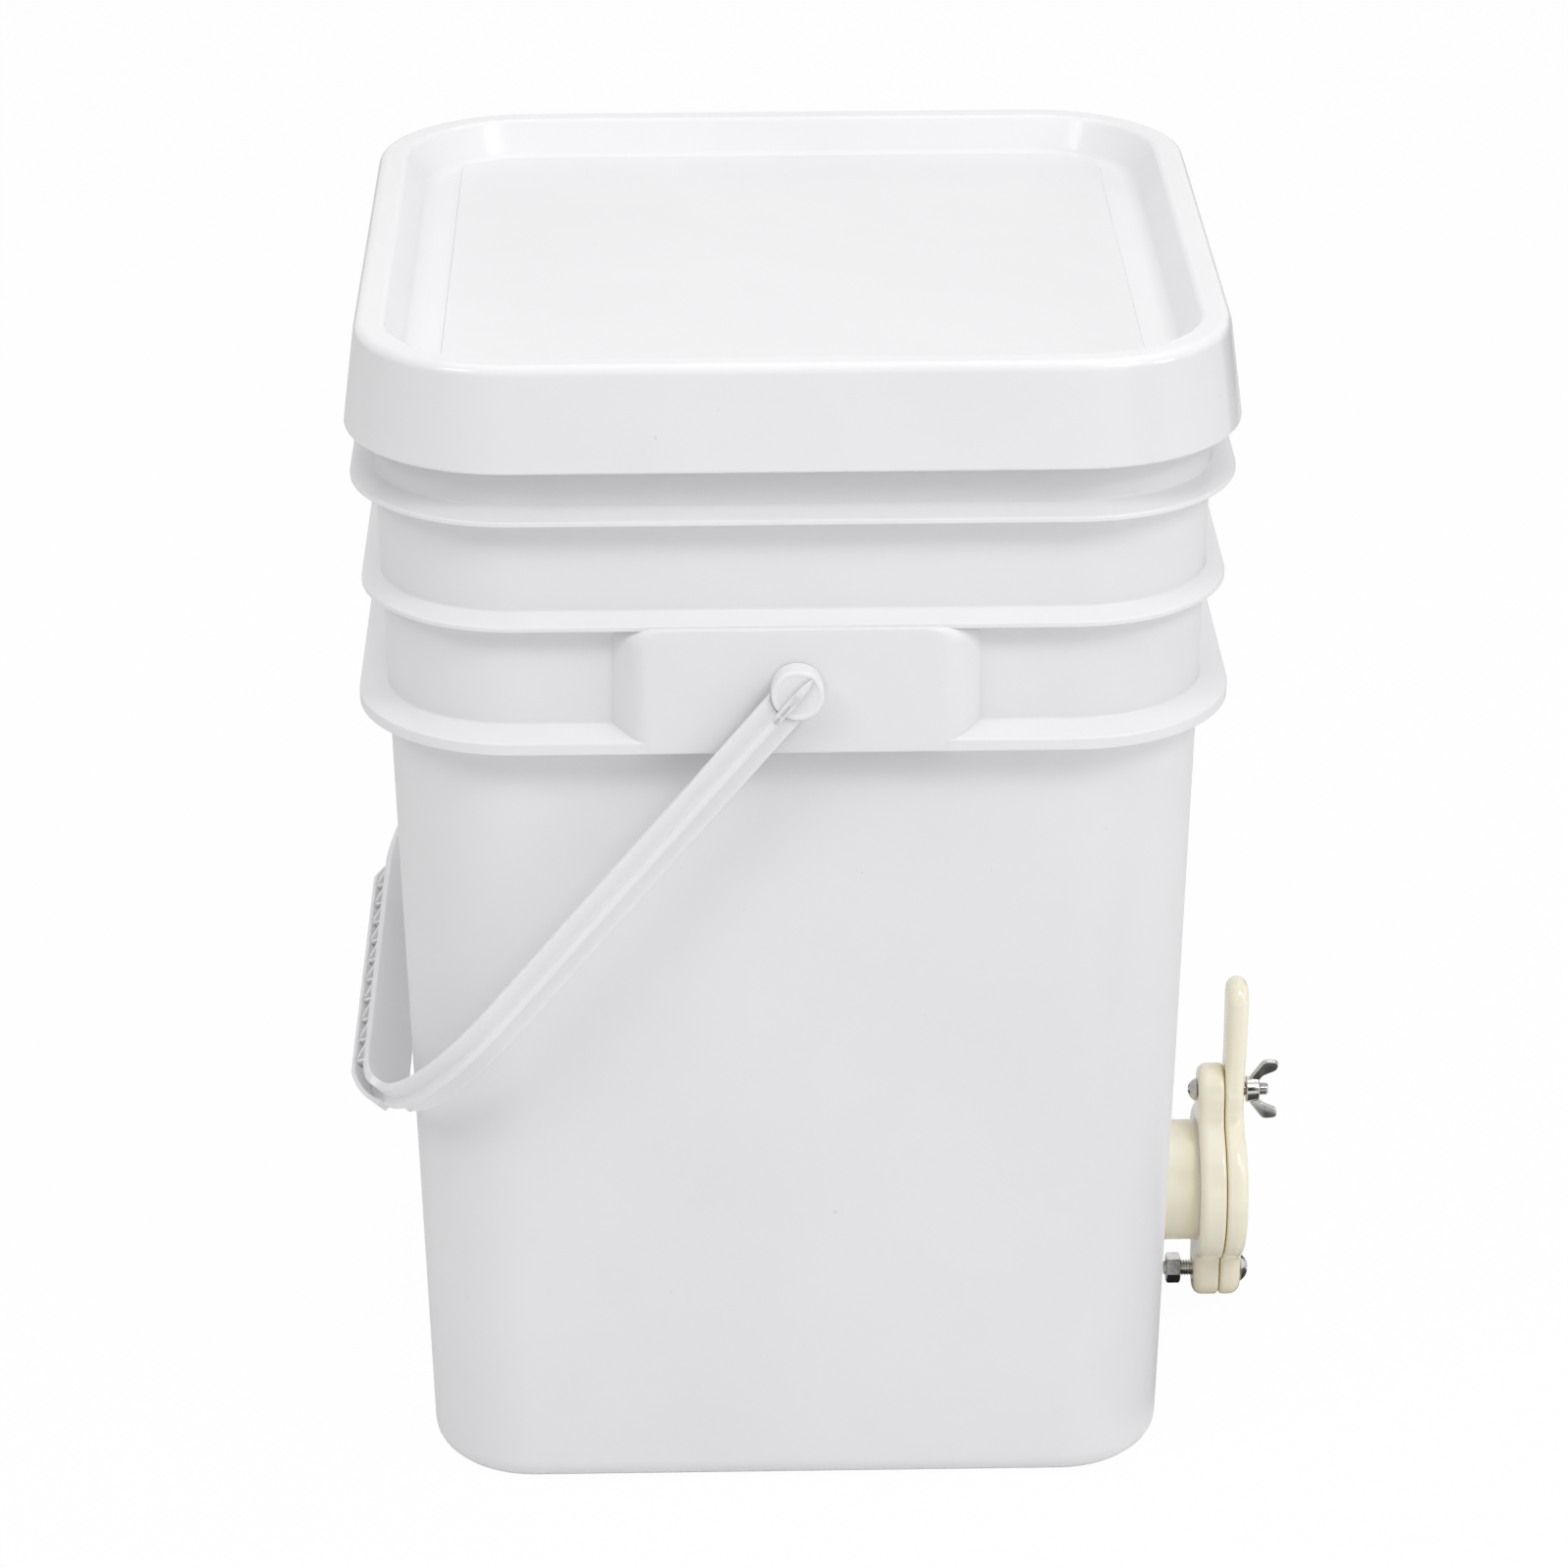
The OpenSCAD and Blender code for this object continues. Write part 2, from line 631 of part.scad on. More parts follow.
bucket_body();
lid();
lid_gasket();
bail_handle();
gate_body();
gate_gasket();
gate_lock_nut();
gate_plate();
clamp_screw();
wing_nut();
pivot_screw();
pivot_nut();
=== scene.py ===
"""Looks of a square honey bucket with a lid, a bail and an outlet gate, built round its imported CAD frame."""
import math

import bmesh
import bpy
from mathutils import Matrix, Vector


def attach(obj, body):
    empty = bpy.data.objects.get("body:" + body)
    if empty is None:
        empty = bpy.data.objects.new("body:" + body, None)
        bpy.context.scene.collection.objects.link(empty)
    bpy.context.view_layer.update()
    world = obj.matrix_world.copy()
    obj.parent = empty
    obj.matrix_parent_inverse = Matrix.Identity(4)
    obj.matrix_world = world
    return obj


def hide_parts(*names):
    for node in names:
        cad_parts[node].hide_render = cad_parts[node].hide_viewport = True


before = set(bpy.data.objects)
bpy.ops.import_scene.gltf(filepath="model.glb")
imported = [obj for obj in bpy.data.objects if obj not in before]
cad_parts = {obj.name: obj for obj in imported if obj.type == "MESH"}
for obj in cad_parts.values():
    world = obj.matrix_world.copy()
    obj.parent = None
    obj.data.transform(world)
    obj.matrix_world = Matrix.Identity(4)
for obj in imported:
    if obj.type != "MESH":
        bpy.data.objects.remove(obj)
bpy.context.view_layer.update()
scene = bpy.context.scene

# Sizes are in millimetres, as in the part's source, and become metres when a piece is made.
MM = 0.001
FULL_TURN = 2*math.pi
# Points nearer than MERGE become one, and an edge sharper than SHARP degrees stays hard.
MERGE = 1e-4
SHARP = 38

# The tub is a rounded square whose corner radius grows with height. Each rib is (height, reach, edge).
CORNER = 93.0
BASE_R = 37.0
BASE_EDGE_R = 9
LEAN = math.tan(math.radians(1.6))
WALL_T = 2.4
FLOOR_T = 3
FLOOR_EDGE_R = 7
RIM_Z = 420.0
RIM_R = 50.13
BEAD_FOOT = 412
BEAD_Z = 413.4
RIBS = ((292.0, 10.0, 4.2), (334.0, 6.8, 1.8), (372.0, 8.4, 1.8))
RIB_RISE = 3.2

# The ears on the Y walls
EAR_FACE = 148.26
EAR_BACK = 139.2
EAR_HALF = 52.5
EAR_SPREAD = 9.5
EAR_REACH = 10.1
EAR_ROLL = 9
EAR_T = 2.6
EAR_FOOT = 290.3
EAR_TOP = 334.4
EAR_TOP_DROP = 0.5
EAR_CORNER = 7.0
EAR_HOLLOW_CORNER = 6.0
EAR_SINK = 0.8

# The pocket that each ear's hollow leaves in the tub's ribs
POCKET_BACK = 139.25
POCKET_FRONT = EAR_FACE - 1.2
POCKET_FOOT = EAR_FOOT - 6
POCKET_TOP = 331.6

# The lid: its snap bead is on the inside of its skirt, and a raised panel lies in its recess.
LID_TOP = 425.4
LID_FOOT = 389.8
LID_FLOOR = 412.4
LID_T = 2.2
LID_GAP = 0.6
LID_BROW = 4
SKIRT_SPREAD = 4.6
SNAP_FOOT = 405.5
SNAP_MIDDLE = 409.6
SNAP_TOP = 411.7
RECESS_R = 34.73
RECESS_TOP_R = 43.23
PANEL_HALF = 117.2
PANEL_R = RECESS_R + 0.3
# The panel's edge as (set back, height above the recess's floor)
PANEL_EDGE = ((0.0, -0.4), (0.0, 0.35), (0.25, 0.68), (0.7, 0.8))

# The bail: a strap with a ridge, whose grip has a web, an outer band and zigzag ribs
PIVOT_Z = 314.0
BAIL_TURN = math.radians(130.0)
BAIL_OUT = 155.326
BAIL_REACH = 226.24
BEND_R = 72.0
BEND_X = BAIL_REACH - BEND_R
BEND_Y = BAIL_OUT - BEND_R
ARM_STATIONS = (0, 8, 24, 70, 115, BEND_X)
STRAP_T = 3.0
STRAP_HALF = 7.0
RIDGE_H = 3.0
RIDGE_HALF = 1.3
RIDGE_FLARE = 0.25
RIDGE_TAPER = 0.1
GRIP_HALF = 9.5
GRIP_DEPTH = 7.0
# The strap widens to the grip over a few degrees of its bend, so its stations are close together there.
GRIP_START = 24.0
GRIP_WIDENING = 2.0
BEND_STATIONS = tuple(range(86, 25, -4)) + (25, 24, 23.2, 22.6, 22, 21, 19, 16, 12, 8, 4, 0)
BAND_T = 1.8
BAND_R = 50.0
BAND_ARC = math.radians(38.5)
GRIP_RIBS = 20
GRIP_RIB_HALF = 0.7
GRIP_RIB_INSET = 0.8
GRIP_RIB_FOOT = 0.8
GRIP_RIB_TOP = 1.0
BOSS_R = 8.8
BOSS_PLAY = 0.3
BOSS_RIM = 1.4
BOSS_FLAT = 2.0
BOSS_DISH = 0.35
PIN_R = 4.9
PIN_HEAD_R = 6.1
PIN_TIP_R = 4.3
PIN_TIP_L = 2.8
# The end of the arm's ridge across the boss as (x, half width, rise)
RIDGE_END = ((12.0, 1.35, 3.0), (4.0, 1.5, 3.0), (0.0, 1.45, 2.95), (-4.0, 1.2, 2.75), (-7.6, 0.5, 2.1))

# The gate: a lugged flange with its barrel and spigot, the closing plate with its lever, and the hardware
GATE_Z = 51.0
PAD_X = 132.66
PAD_BACK = 128
PAD_HOLE_R = 20.8
PAD_R = 33.3
PAD_SKIRT_R = 34.4
PAD_FOOT_R = 34.6
FLANGE_X = 152.16
FLANGE_T = 9.5
PLATE_X = 161.96
PLATE_T = 8.0
SEAT_GAP = 0.3
SCREW_OFFSET = 37.6
LUG_R = 10
LUG_FILLET = 8.0
DISC_R = 30
BORE_R = 17.0
BARREL_R = 22.5
BARREL_FLARE_R = 26.0
SPIGOT_END = 110.8
SPIGOT_R = 20.4
SPIGOT_ROOT_R = 18.9
SPIGOT_TIP_R = 18.4
SPIGOT_PITCH = 3.0
SPIGOT_TURNS = 6
CLAMP_HOLE_R = 2.58
PIVOT_HOLE_R = 3.08
LEVER_END_Z = 75
LEVER_END_R = 8.5
LEVER_SIDE = [(8.5, 45.5), (8.3, 52), (8.1, 58), (8.1, 64), (8.3, 70)]
SLOT_HALF = 2.8
SLOT_MOUTH = 9.9
SLOT_EDGE_SHARE = 0.2
# The plate's edge has this share of its radius, and a full one from LEVER_BLEND above LEVER_FOOT on.
PLATE_EDGE_SHARE = 0.42
LEVER_FOOT = 42
LEVER_BLEND = 8
DENT_DEPTH = 0.9
DENT_Z = 37
DENT_REACH = 15
OUTLINE_GAP = 0.05
# The wing nut's hub and one of its wings as corners in (radius or height, distance from the seat, rounding)
HUB = [(CLAMP_HOLE_R, 0.5, 0), (3.0, 0, 0.2), (5.0, 0, 0.5), (4.2, 5.0, 0.7), (3.0, 5.0, 0.2),
       (CLAMP_HOLE_R, 4.6, 0)]
WING = [(3.2, 0.7, 0.4), (6.2, 2.2, 3.0), (12.2, 6.6, 3.2), (11.6, 12.4, 3.4), (7.8, 11.6, 2.4),
        (5.6, 6.4, 3.0), (3.2, 4.7, 0.4)]
# The wings grow thicker beyond WING_ROOT. Their section is (y, set back).
WING_ROOT = 6
WING_GROWTH = 0.25
WING_SECTION = ((-1.05, 0.75), (-0.9, 0.35), (-0.55, 0.08), (0, 0), (0.55, 0.08), (0.9, 0.35), (1.05, 0.75))


# Points and outlines


def wall_r(z):
    """Radius of the tub's corners at height z."""
    return BASE_R + z*LEAN


def circle(n):
    """The angles of n points on a full turn."""
    return [FULL_TURN*i/n for i in range(n)]


def arc(cx, cy, r, start, end, n):
    """Points on an arc, its angles in degrees."""
    turns = [math.radians(start + (end - start)*i/n) for i in range(n + 1)]
    return [(cx + r*math.cos(a), cy + r*math.sin(a)) for a in turns]


def corner_arc(before, corner, after, r, n):
    """The points of one rounded corner. Its radius is cut down where a side is too short for it."""
    longest = 0.48
    a = before - corner
    b = after - corner
    half = a.angle(b)/2
    t = min(r/math.tan(half), longest*a.length, longest*b.length)
    r = t*math.tan(half)
    a.normalize()
    b.normalize()
    centre = corner + (a + b).normalized()*(r/math.sin(half))
    start = corner + a*t - centre
    end = corner + b*t - centre
    begin = math.atan2(start.y, start.x)
    sweep = (math.atan2(end.y, end.x) - begin + math.pi) % FULL_TURN - math.pi
    turns = [begin + sweep*k/n for k in range(n + 1)]
    return [(centre.x + r*math.cos(angle), centre.y + r*math.sin(angle)) for angle in turns]


def rounded(points, n=5, closed=False):
    """A polyline through (x, y, radius) corners, each drawn as an arc of n steps."""
    out = []
    ends = () if closed else (0, len(points) - 1)
    for i, (x, y, r) in enumerate(points):
        if r == 0 or i in ends:
            out.append((x, y))
            continue
        before = Vector(points[i - 1][:2])
        after = Vector(points[(i + 1) % len(points)][:2])
        out += corner_arc(before, Vector((x, y)), after, r, n)
    return out


def outward(points):
    """The unit normals of a closed outline at its points."""
    n = len(points)
    out = []
    for i in range(n):
        along = Vector(points[(i + 1) % n][:2]) - Vector(points[i - 1][:2])
        out.append(Vector((along.y, -along.x)).normalized())
    return out


def apart(p, q):
    """The distance between two outline points."""
    return math.hypot(p[0] - q[0], p[1] - q[1])


def spaced(points):
    """Drops points that lie almost on the one before."""
    out = [points[0]]
    for p in points[1:]:
        if apart(p, out[-1]) > OUTLINE_GAP:
            out.append(p)
    return out


def spaced_loop(points):
    """The same for a closed outline, whose last point may also lie on its first."""
    out = spaced(points)
    if apart(out[0], out[-1]) < OUTLINE_GAP:
        out.pop()
    return out


# Mesh building


def loft(bm, loops, wrap=False, ring=True):
    """Joins loops of equally many points with quads, and with wrap the last loop to the first."""
    rows = [[bm.verts.new(p) for p in loop] for loop in loops]
    for a, b in zip(rows, rows[1:] + rows[:1] if wrap else rows[1:]):
        for i in range(len(a) if ring else len(a) - 1):
            j = (i + 1) % len(a)
            bm.faces.new((a[i], a[j], b[j], b[i]))
    return rows


def cap(bm, rows):
    """Closes both ends of a loft."""
    bm.faces.new(rows[0][::-1])
    bm.faces.new(rows[-1])


def square_loop(r, z, n=20):
    """A rounded square at height z, its corners centred at (+-CORNER, +-CORNER)."""
    out = []
    for k, (sx, sy) in enumerate(((1, 1), (-1, 1), (-1, -1), (1, -1))):
        out += [(x, y, z) for x, y in arc(sx*CORNER, sy*CORNER, r, 90*k, 90*k + 90, n)]
    return out


def swept(bm, profile):
    """Sweeps an (r, z) profile round the rounded square and closes the flats inside r = 0."""
    loft(bm, [square_loop(r, z) for r, z in profile])
    bmesh.ops.remove_doubles(bm, verts=bm.verts, dist=MERGE)
    bmesh.ops.holes_fill(bm, edges=[e for e in bm.edges if e.is_boundary], sides=8)


def lathe(bm, profile, origin, axis, n=48, wrap=False):
    """Turns an (r, h) profile about the X or Y axis through origin."""
    ox, oy, oz = origin
    loops = []
    for r, h in profile:
        ring = [(r*math.cos(a), r*math.sin(a)) for a in circle(n)]
        if axis == "X":
            loops.append([(ox + h, oy + a, oz + b) for a, b in ring])
        else:
            loops.append([(ox + b, oy + h, oz + a) for a, b in ring])
    loft(bm, loops, wrap)


def thread(bm, d, pitch, x0, x1, z, n=36):
    """A rod along X with a helical thread, chamfered at x0."""
    loops_a_pitch = 10
    flank = 2.4
    depth = 0.52*pitch
    chamfer = 0.9
    chamfer_slope = 1.1
    steps = int(abs(x1 - x0)/pitch*loops_a_pitch)
    loops = []
    for k in range(steps + 1):
        h = (x1 - x0)*k/steps
        loop = []
        for i, a in enumerate(circle(n)):
            phase = (abs(h)/pitch - i/n) % 1.0
            ridge = min(1.0, flank*abs(phase - 0.5))
            r = min(d/2 - depth*ridge, d/2 - chamfer + abs(h)*chamfer_slope)
            loop.append((x0 + h, r*math.cos(a), z + r*math.sin(a)))
        loops.append(loop)
    cap(bm, loft(bm, loops))


def fill_face(bm, loops):
    """Fills the flat face between an outline and the rims of its holes."""
    edges = [bm.edges.get((a, b)) for row in loops for a, b in zip(row, row[1:] + row[:1])]
    bmesh.ops.triangle_fill(bm, use_beauty=True, use_dissolve=False, edges=edges)


def slab(bm, outline, x0, x1, r0, r1, holes, dent=None):
    """A plate of the gate from x0 to x1 with rounded edges and round holes.

    Outline points are (y, z, share of r0, share of r1) and holes are (y, z, radius). dent(z) says how far
    the face at x1 is moved.
    """
    edge_steps = 6
    lip = 0.5

    def point(x, y, h):
        """A point of the plate, moved with the dent."""
        push = dent(h)*(x - x0)/(x1 - x0) if dent else 0.0
        return (x + push, y, GATE_Z + h)

    # Each level ends with the place of its share in the outline's points.
    normals = outward(outline)
    turns = [math.pi/2*k/edge_steps for k in range(edge_steps + 1)]
    levels = [(x0, r0, a, 2) for a in turns] + [(x1, -r1, a, 3) for a in reversed(turns)]
    loops = []
    for x, r, a, share in levels:
        loop = []
        for p, v in zip(outline, normals):
            reach = r*p[share]
            back = abs(reach)*(1 - math.sin(a))
            loop.append(point(x + reach*(1 - math.cos(a)), p[0] - v.x*back, p[1] - v.y*back))
        loops.append(loop)
    rows = loft(bm, loops)
    near = [rows[0]]
    far = [rows[-1]]
    for cy, cz, r in holes:
        levels = ((x0, r + lip), (x0 + lip, r), (x1 - lip, r), (x1, r + lip))
        rings = [[point(x, cy + s*math.cos(a), cz + s*math.sin(a)) for a in circle(40)] for x, s in levels]
        bore = loft(bm, rings)
        near.append(bore[0])
        far.append(bore[-1])
    fill_face(bm, near)
    fill_face(bm, far)


def hexagon(bm, across, bore, t, x0, z, turn=0.0, n=72):
    """A chamfered hex nut along X with a bore."""
    lip = 0.4
    face_share = 0.985
    chamfer = math.radians(28)
    face = across/2*face_share
    drop = math.tan(chamfer)

    def flat_r(a):
        """Distance from the axis to the flats at angle a."""
        return across/2/math.cos((a - turn) % (math.pi/3) - math.pi/6)

    loops = []
    for x, way, on_flats in ((0.0, 1, False), (0.0, 1, True), (t, -1, True), (t, -1, False)):
        loop = []
        for a in circle(n):
            r = flat_r(a) if on_flats else face
            h = x + way*(r - face)*drop
            loop.append((x0 + h, r*math.cos(a), z + r*math.sin(a)))
        loops.append(loop)
    for x, r in ((t, bore + lip), (t - lip, bore), (lip, bore), (0.0, bore + lip)):
        loops.append([(x0 + x, r*math.cos(a), z + r*math.sin(a)) for a in circle(n)])
    loft(bm, loops, wrap=True)


def box(bm, low, high):
    """A box between two corners."""
    size = Vector(high) - Vector(low)
    middle = (Vector(high) + Vector(low))/2
    bmesh.ops.create_cube(bm, size=1, matrix=Matrix.Translation(middle) @ Matrix.Diagonal((*size, 1)))


def to_object(name, bm, sharp=SHARP):
    """Makes a smooth-shaded object in metres from a mesh in millimetres."""
    bmesh.ops.remove_doubles(bm, verts=bm.verts, dist=MERGE)
    bmesh.ops.dissolve_degenerate(bm, dist=MERGE/10, edges=bm.edges)
    bmesh.ops.recalc_face_normals(bm, faces=bm.faces)
    bmesh.ops.scale(bm, vec=(MM, MM, MM), verts=bm.verts)
    mesh = bpy.data.meshes.new(name)
    bm.to_mesh(mesh)
    bm.free()
    mesh.polygons.foreach_set("use_smooth", [True]*len(mesh.polygons))
    mesh.set_sharp_from_angle(angle=math.radians(sharp))
    obj = bpy.data.objects.new(name, mesh)
    scene.collection.objects.link(obj)
    return obj


def cut(obj, bm, crossing=False):
    """Takes the solids in bm out of obj, whose own shells may be crossing each other."""
    tool = to_object("cutter", bm)
    change = obj.modifiers.new("cut", "BOOLEAN")
    change.operation = "DIFFERENCE"
    change.solver = "EXACT"
    change.use_self = crossing
    change.object = tool
    bpy.context.view_layer.update()
    made = bpy.data.meshes.new_from_object(obj.evaluated_get(bpy.context.evaluated_depsgraph_get()))
    obj.modifiers.clear()
    old = obj.data
    obj.data = made
    made.name = obj.name
    bpy.data.meshes.remove(old)
    bpy.data.objects.remove(tool)
    made.set_sharp_from_angle(angle=math.radians(SHARP))


def finish_piece(obj, node, body, material):
    """Puts a piece in the place of a CAD node."""
    obj.data.materials.clear()
    obj.data.materials.append(material)
    normals = obj.modifiers.new("normals", "WEIGHTED_NORMAL")
    normals.keep_sharp = True
    normals.weight = 60
    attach(obj, body)
    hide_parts(node)


# Materials


class Paint:
    """A procedural material and the nodes that feed its shader."""

    def __init__(self, name):
        self.material = bpy.data.materials.new(name)
        self.material.use_nodes = True
        self.nodes = self.material.node_tree.nodes
        self.links = self.material.node_tree.links
        self.shader = self.nodes["Principled BSDF"]

    def set(self, socket, value):
        """Sets one of the shader's sockets."""
        self.shader.inputs[socket].default_value = value

    def feed(self, socket, source):
        """Links a source to one of the shader's sockets."""
        self.links.new(source, self.shader.inputs[socket])

    def noise(self, scale, detail, stretch=(1, 1, 1)):
        """A noise of so many features a metre in the object's own space."""
        place = self.nodes.new("ShaderNodeTexCoord")
        mapping = self.nodes.new("ShaderNodeMapping")
        mapping.inputs["Scale"].default_value = stretch
        grain = self.nodes.new("ShaderNodeTexNoise")
        grain.inputs["Scale"].default_value = scale
        grain.inputs["Detail"].default_value = detail
        self.links.new(place.outputs["Object"], mapping.inputs["Vector"])
        self.links.new(mapping.outputs["Vector"], grain.inputs["Vector"])
        return grain.outputs["Fac"]

    def ramp(self, fac, low, high, start=0.3, end=0.7):
        """A colour ramp between two colours."""
        made = self.nodes.new("ShaderNodeValToRGB")
        made.color_ramp.elements[0].position = start
        made.color_ramp.elements[0].color = (*low, 1)
        made.color_ramp.elements[1].position = end
        made.color_ramp.elements[1].color = (*high, 1)
        self.links.new(fac, made.inputs["Fac"])
        return made.outputs["Color"]

    def spread(self, fac, low, high):
        """A value between low and high."""
        made = self.nodes.new("ShaderNodeMapRange")
        made.inputs["From Min"].default_value = 0.3
        made.inputs["From Max"].default_value = 0.7
        made.inputs["To Min"].default_value = low
        made.inputs["To Max"].default_value = high
        self.links.new(fac, made.inputs["Value"])
        return made.outputs["Result"]

    def colour_mix(self, kind):
        """A node that blends two colours."""
        made = self.nodes.new("ShaderNodeMix")
        made.data_type = "RGBA"
        made.blend_type = kind
        return made

    def bump(self, layers):
        """Bumps laid over each other, each as (height, strength, depth in metres)."""
        last = None
        for height, strength, depth in layers:
            made = self.nodes.new("ShaderNodeBump")
            made.inputs["Strength"].default_value = strength
            made.inputs["Distance"].default_value = depth
            self.links.new(height, made.inputs["Height"])
            if last:
                self.links.new(last, made.inputs["Normal"])
            last = made.outputs["Normal"]
        return last

    def scatter(self, weight, radius, ior):
        """Light under the surface, its radius in metres."""
        self.set("Subsurface Weight", weight)
        self.set("Subsurface Radius", radius)
        self.set("Subsurface Scale", 1.0)
        self.set("IOR", ior)


def white_plastic(name, rough, glow, waves):
    """Moulded polypropylene: almost even, with faint flow clouds, rare specks and a soft gloss."""
    paint = Paint(name)
    tint = paint.ramp(paint.noise(scale=9, detail=4), (0.80, 0.80, 0.815), (0.835, 0.835, 0.85))
    specks = paint.ramp(paint.noise(scale=260, detail=2), (0.90, 0.89, 0.87), (1, 1, 1), start=0.2, end=0.235)
    mix = paint.colour_mix("MULTIPLY")
    mix.inputs["Factor"].default_value = 1.0
    paint.links.new(tint, mix.inputs["A"])
    paint.links.new(specks, mix.inputs["B"])
    paint.feed("Base Color", mix.outputs["Result"])
    paint.feed("Roughness", paint.spread(paint.noise(scale=35, detail=3), rough - 0.04, rough + 0.05))
    flow = (paint.noise(scale=14, detail=2), waves, 0.0012)
    grain = (paint.noise(scale=1500, detail=2), 0.05, 0.00006)
    paint.feed("Normal", paint.bump([flow, grain]))
    paint.scatter(glow, (0.004, 0.004, 0.004), ior=1.49)
    return paint.material


def cream_nylon():
    """Cast nylon: cream, with a waxy gloss, fine casting grain and a painted deeper yellow shade in its
    crevices.
    """
    paint = Paint("cream_nylon")
    tint = paint.ramp(paint.noise(scale=30, detail=3), (0.975, 0.885, 0.715), (0.985, 0.91, 0.76))
    # Painted shade: where ambient occlusion finds a crevice, the cream turns a darker, deeper yellow. This
    # stands in for shadow and for light scattered through the nylon there.
    painted_shade_mask = paint.nodes.new("ShaderNodeAmbientOcclusion")
    painted_shade_mask.inputs["Distance"].default_value = 0.008
    painted_crevice_shade = paint.colour_mix("MIX")
    painted_crevice_shade.inputs["A"].default_value = (0.97, 0.83, 0.46, 1)
    paint.links.new(painted_shade_mask.outputs["AO"], painted_crevice_shade.inputs["Factor"])
    paint.links.new(tint, painted_crevice_shade.inputs["B"])
    paint.feed("Base Color", painted_crevice_shade.outputs["Result"])
    paint.feed("Roughness", paint.spread(paint.noise(scale=120, detail=3), 0.06, 0.11))
    swell = (paint.noise(scale=60, detail=2), 0.05, 0.0006)
    grain = (paint.noise(scale=1400, detail=2), 0.05, 0.00005)
    paint.feed("Normal", paint.bump([swell, grain]))
    paint.scatter(0.45, (0.006, 0.005, 0.003), ior=1.53)
    return paint.material


def steel():
    """Polished stainless steel with faint turning lines."""
    paint = Paint("steel")
    paint.set("Metallic", 1.0)
    tint = paint.ramp(paint.noise(scale=300, detail=4), (0.56, 0.55, 0.53), (0.70, 0.69, 0.67))
    paint.feed("Base Color", tint)
    paint.feed("Roughness", paint.spread(paint.noise(scale=500, detail=3), 0.07, 0.16))
    lines = paint.noise(scale=900, detail=2, stretch=(6, 1, 1))
    paint.feed("Normal", paint.bump([(lines, 0.08, 0.00004)]))
    return paint.material


def rubber(name, low, high):
    """Soft rubber with a matt, slightly mottled skin."""
    paint = Paint(name)
    paint.feed("Base Color", paint.ramp(paint.noise(scale=180, detail=4), low, high))
    paint.feed("Roughness", paint.spread(paint.noise(scale=90, detail=2), 0.55, 0.75))
    paint.feed("Normal", paint.bump([(paint.noise(scale=2200, detail=2), 0.2, 0.0001)]))
    return paint.material


def paint_gaskets():
    """Gives the two gaskets, which keep their CAD shape, their rubber."""
    pale = rubber("pale_seal", (0.66, 0.66, 0.64), (0.74, 0.74, 0.72))
    dark = rubber("dark_seal", (0.02, 0.02, 0.02), (0.035, 0.035, 0.035))
    for node, material in (("lid_gasket", pale), ("gate_gasket", dark)):
        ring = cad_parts[node]
        ring.data.materials.clear()
        ring.data.materials.append(material)


TUB_WHITE = white_plastic("tub_white", rough=0.36, glow=0.12, waves=0.10)
LID_WHITE = white_plastic("lid_white", rough=0.15, glow=0.12, waves=0.03)
BAIL_WHITE = white_plastic("bail_white", rough=0.40, glow=0.4, waves=0.05)
CREAM = cream_nylon()
STEEL = steel()


# Tub


def ear_outline(half, top, corner, n=8):
    """An ear's outline in (x, z), open at its foot."""
    left = arc(-half + corner, top - corner, corner, 180, 90, n)
    right = arc(half - corner, top - corner, corner, 90, 0, n)
    return [(-half, EAR_FOOT)] + left + right + [(half, EAR_FOOT)]


def ear_shell(bm, side):
    """The outside of an ear. Its slanted sides start inside the wall and roll softly into its face."""
    corners = [(EAR_HALF + EAR_SPREAD, 0, 0), (EAR_HALF, EAR_REACH, EAR_ROLL),
               (EAR_HALF - EAR_ROLL, EAR_REACH, 0)]
    loops = []
    for half, depth in rounded(corners, 8)[:-1]:
        share = depth/EAR_REACH
        loop = []
        for x, z in ear_outline(half, EAR_TOP - EAR_TOP_DROP*share**6, EAR_CORNER):
            root = CORNER + wall_r(z) - EAR_SINK
            loop.append((x, side*(EAR_FACE*share + root*(1 - share)), z))
        loops.append(loop)
    return loft(bm, loops, ring=False)


def ear(bm, side):
    """A hollow ear on one Y wall, open below."""
    rows = ear_shell(bm, side)
    inner = ear_outline(EAR_HALF - EAR_T, EAR_TOP - EAR_T, EAR_HOLLOW_CORNER)
    hollow = loft(bm, [[(x, side*y, z) for x, z in inner] for y in (EAR_FACE - EAR_T, EAR_BACK)], ring=False)
    bm.faces.new(rows[-1])
    bm.faces.new(hollow[0][::-1])
    # Inside the tub's wall the outer shell and the hollow meet, so that the ear is a closed solid.
    for i in range(len(rows[0]) - 1):
        bm.faces.new((rows[0][i], rows[0][i + 1], hollow[1][i + 1], hollow[1][i]))
    # The foot's rim joins the outer shell to the hollow.
    for i in (0, -1):
        bm.faces.new([rows[-1][i], hollow[0][i], hollow[1][i]] + [row[i] for row in rows[:-1]])
    bm.faces.new((rows[-1][0], rows[-1][-1], hollow[0][-1], hollow[0][0]))


